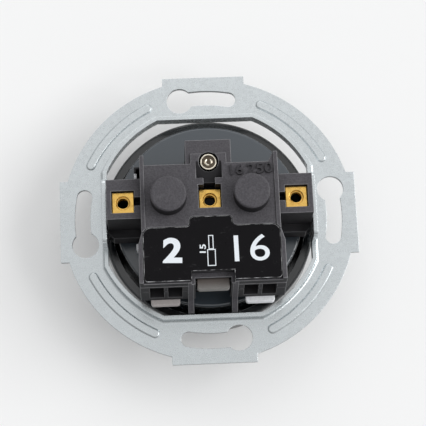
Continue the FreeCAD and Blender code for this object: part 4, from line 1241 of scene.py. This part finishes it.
@dataclass
class Marks:
    """Plain white prints on the lid and raised digits on the housing.

    Attributes:
        lid_top: height of the lid.
        roof: height of the housing's roof.
        ink: thickness of the ink.
        line: width of the gauge's lines.
        relief: height of the raised digits.
        sunk: how deep they start in the roof.
        rim: width of the rounding on them.
        printed: digits on the lid.
        gauge: first and last corner of the strip gauge's two frames.
        raised: digits on the roof.
    """

    lid_top: float = 31.6
    roof: float = 31.4
    ink: float = 0.02
    line: float = 0.2
    relief: float = 0.5
    sunk: float = 0.04
    rim: float = 0.06
    printed: tuple[Digits, ...] = (
        Digits("2", (-9.0, -12.45), 4.4, 5.9, 0.035, -2.0),
        Digits("16", (8.95, -12.5), 8.0, 6.2, 0.0, 0.5),
        Digits("15", (-2.15, -12.3), 2.0, 1.4, 0.02, 88.0),
    )
    gauge: tuple[tuple[Pair, Pair], ...] = (
        ((-0.83, -12.52), (0.33, -9.2)),
        ((-1.18, -16.4), (0.74, -12.5)),
    )
    raised: tuple[Digits, ...] = (
        Digits("16", (6.4, 6.1), 3.0, 2.5, 0.012, 1.5),
        Digits("250", (11.75, 6.25), 5.9, 2.5, 0.012, 1.5),
    )

    def build(self) -> None:
        """Make the prints and the raised digits."""
        prints = bmesh.new()
        foot = self.lid_top - 0.5 * self.ink
        for digits in self.printed:
            add_digits(prints, digits, foot, self.ink)
        for corner, far in self.gauge:
            add_frame(prints, corner, far, self.line, foot, self.ink)
        seat(finished("lid_prints", prints), INK)
        moulded = bmesh.new()
        for digits in self.raised:
            add_digits(moulded, digits, self.roof - self.sunk, self.relief + self.sunk)
        ease(moulded, self.rim, 1)
        seat(finished("raised_digits", moulded), SHADED_DIGIT_BLACK)


@dataclass(frozen=True)
class Lamp:
    """Soft lamp that lights the whole table evenly.

    Attributes:
        name: name of the lamp.
        heading: direction that its light comes from.
        power: strength.
        spread: width in degrees.
    """

    name: str
    heading: Point
    power: float
    spread: float

    def build(self) -> None:
        """Make the lamp."""
        light = bpy.data.lights.new(self.name, "SUN")
        light.energy = self.power
        light.angle = math.radians(self.spread)
        lamp = bpy.data.objects.new(self.name, light)
        lamp.location = Vector(self.heading)
        lamp.rotation_euler = (-lamp.location).to_track_quat("-Z", "Y").to_euler()
        bpy.context.scene.collection.objects.link(lamp)


@dataclass
class Studio:
    """Pale table, soft light and a camera at the photograph's viewing angle.

    Attributes:
        eye: place of the camera in millimetres.
        right: the picture's right-hand direction.
        down: the picture's downward direction.
        ahead: viewing direction.
        lens: focal length in millimetres.
        sensor: width of the camera's sensor in millimetres.
        sight: nearest and farthest distance that the camera sees, in metres.
        table_color: colour of the table.
        table_half: half of its width in metres.
        table_drop: how far it lies under the insert, in millimetres.
        lamps: the lamps.
        sky_from: direction of the sky's brightest part.
        sky_power: the sky's strength.
        sky_tint: the sky's colour.
        below_color: colour of the world below the table, which lights the front in views from below.
        horizon: heights of a direction between which the sky turns to that colour.
        sky_steps: places from 0, opposite the brightest part, to 1, and the brightness there.
    """

    eye: Point = (-9.488, -97.451, 365.015)
    right: Point = (0.9988969, -0.04344783, 0.01781217)
    down: Point = (-0.03701605, -0.96197292, -0.27062504)
    ahead: Point = (0.0288929, 0.26966718, -0.96252003)
    lens: float = 128.605
    sensor: float = 36.0
    sight: Pair = (0.02, 20.0)
    table_color: Color = (0.835, 0.835, 0.835)
    table_half: float = 3.0
    table_drop: float = 0.02
    lamps: tuple[Lamp, ...] = (
        Lamp("key", (0.80, 0.10, 0.59), 1.53, 40.0),
        Lamp("side", (0.66, -0.38, 0.64), 0.28, 14.0),
        Lamp("back", (0.0, 0.75, 0.66), 0.32, 40.0),
    )
    sky_from: Point = (0.35, 0.50, 0.79)
    sky_power: float = 0.92
    sky_tint: Color = (0.985, 0.995, 1.0)
    below_color: Color = (0.86, 0.87, 0.88)
    horizon: Pair = (-0.02, -0.2)
    sky_steps: tuple[Pair, ...] = (
        (0.25, 0.30), (0.6, 0.66), (0.8, 0.78), (0.86, 0.83), (0.96, 0.93), (1.0, 0.96))

    def build(self) -> None:
        """Make the table, the lamps, the world and the camera."""
        self.table()
        for lamp in self.lamps:
            lamp.build()
        self.sky()
        self.camera()

    def table(self) -> None:
        """Make the table top under the insert."""
        solid = bmesh.new()
        bmesh.ops.create_grid(solid, x_segments=8, y_segments=8, size=self.table_half)
        bmesh.ops.translate(solid, verts=solid.verts, vec=(0.0, 0.0, -self.table_drop * MM))
        mesh = bpy.data.meshes.new("table_top")
        solid.to_mesh(mesh)
        solid.free()
        table = as_object("table_top", mesh)
        dress(table, TableTop("table_white", "", self.table_color, 0.6))

    def sky(self) -> None:
        """Make a plain world, brightest above and behind the insert and even below the table."""
        world = bpy.data.worlds.new("studio_sky")
        world.use_nodes = True
        bpy.context.scene.world = world
        tree = world.node_tree
        tree.nodes.clear()
        heading = tree.nodes.new("ShaderNodeTexCoord")
        toward = tree.nodes.new("ShaderNodeVectorMath")
        toward.operation = "DOT_PRODUCT"
        toward.inputs[1].default_value = Vector(self.sky_from).normalized()
        place = tree.nodes.new("ShaderNodeMapRange")
        place.inputs["From Min"].default_value = -1.0
        ramp = tree.nodes.new("ShaderNodeValToRGB")
        stops = ramp.color_ramp.elements
        while len(stops) < len(self.sky_steps):
            stops.new(0.5)
        for stop, (where, level) in zip(stops, self.sky_steps):
            stop.position = where
            stop.color = (*(level * part for part in self.sky_tint), 1.0)
        height = tree.nodes.new("ShaderNodeSeparateXYZ")
        below = tree.nodes.new("ShaderNodeMapRange")
        below.inputs["From Min"].default_value, below.inputs["From Max"].default_value = self.horizon
        both = tree.nodes.new("ShaderNodeMix")
        both.data_type = "RGBA"
        both.inputs[7].default_value = (*self.below_color, 1.0)
        glow = tree.nodes.new("ShaderNodeBackground")
        glow.inputs["Strength"].default_value = self.sky_power
        output = tree.nodes.new("ShaderNodeOutputWorld")
        for start, end in (
            (heading.outputs["Generated"], toward.inputs[0]),
            (toward.outputs["Value"], place.inputs["Value"]),
            (place.outputs[0], ramp.inputs[0]),
            (heading.outputs["Generated"], height.inputs[0]),
            (height.outputs["Z"], below.inputs["Value"]),
            (below.outputs[0], both.inputs[0]),
            (ramp.outputs[0], both.inputs[6]),
            (both.outputs[2], glow.inputs[0]),
            (glow.outputs[0], output.inputs[0]),
        ):
            tree.links.new(start, end)

    def camera(self) -> None:
        """Make the camera from the directions fitted to the photograph."""
        view = bpy.data.cameras.new("viewer")
        view.sensor_width = self.sensor
        view.lens = self.lens
        view.clip_start, view.clip_end = self.sight
        eye = bpy.data.objects.new("viewer", view)
        turn = Matrix((self.right, [-c for c in self.down], [-c for c in self.ahead])).transposed()
        eye.matrix_world = Matrix.Translation(Vector(self.eye) * MM) @ turn.to_4x4()
        bpy.context.scene.collection.objects.link(eye)
        bpy.context.scene.camera = eye


@dataclass(frozen=True)
class HousingShadeAndHighlight:
    """Where painted shade and painted highlights fall on the housing, in millimetres.

    Attributes:
        leg: distance of a leg's middle from the Y axis.
        leg_half: half of a leg's width.
        leg_front: place along Y below which its front lies.
        leg_top: height of its front.
        leg_highlight: shelter of that front, below 0 for a painted highlight.
        rim: height above which the bosses' rims lie, which get a painted highlight.
        hollow: height below which the housing gets painted shade.
        channel_half: half width of the tower's channel.
        channel: start and end of the channel along Y.
        channel_top: height below which the channel gets painted shade.
    """

    leg: float = 5.1
    leg_half: float = 0.65
    leg_front: float = -19.8
    leg_top: float = 30.5
    leg_highlight: float = -0.7
    rim: float = 34.7
    hollow: float = 27.0
    channel_half: float = 3.2
    channel: Pair = (2.6, 11.0)
    channel_top: float = 30.85

    def share(self, middle: Vector) -> float:
        """Shelter of a face: 1 for painted shade in a hollow, below 0 for a painted highlight.

        Args:
            middle: the face's middle in millimetres.

        Returns:
            The shelter.
        """
        # Leg fronts and boss rims get a painted highlight; hollows and the channel get painted shade.
        on_leg = abs(abs(middle.x) - self.leg) < self.leg_half
        if on_leg and middle.y < self.leg_front and middle.z < self.leg_top:
            return self.leg_highlight
        if middle.z > self.rim:
            return -1.0
        start, end = self.channel
        in_channel = abs(middle.x) < self.channel_half and start < middle.y < end
        return float(middle.z < self.hollow or (in_channel and middle.z < self.channel_top))


def main() -> None:
    """Build the insert's looks and the studio."""
    logging.basicConfig(level=logging.INFO, format="%(name)s: %(message)s")
    bpy.context.scene.view_settings.view_transform = "Standard"
    for piece in (
        SupportRing(),
        EasedPiece("socket_base", HOUSING_BLACK, 0.14, sheltered=HousingShadeAndHighlight().share),
        EasedPiece("terminal_lid", LID_BLACK, 0.12),
        EasedPiece("front_cover", COVER_BLACK, 0.15, sheltered=between(*COVER_WALL)),
        EasedPiece("carrier_plate", WHITE, 0.1),
        *(EasedPiece(f"release_button_{word}", finish, 0.2, f"release_button_{word}_body")
          for word, finish in (("left", SHADED_WHITE), ("right", WHITE), ("earth", IVORY))),
        *(ThreadedNut(place) for place in Place),
        PointedScrew(),
        EarthTail(),
        Marks(),
        CadPieces(BRASS, ("contact_left", "contact_right", "earth_strap")),
        CadPieces(SPRING, ("contact_clip_left", "contact_clip_right", "clamp_spring_left_inner",
                           "clamp_spring_left_outer", "clamp_spring_right_inner",
                           "clamp_spring_right_outer", "clamp_spring_earth")),
        Studio(),
    ):
        piece.build()


if __name__ == "__main__":
    main()
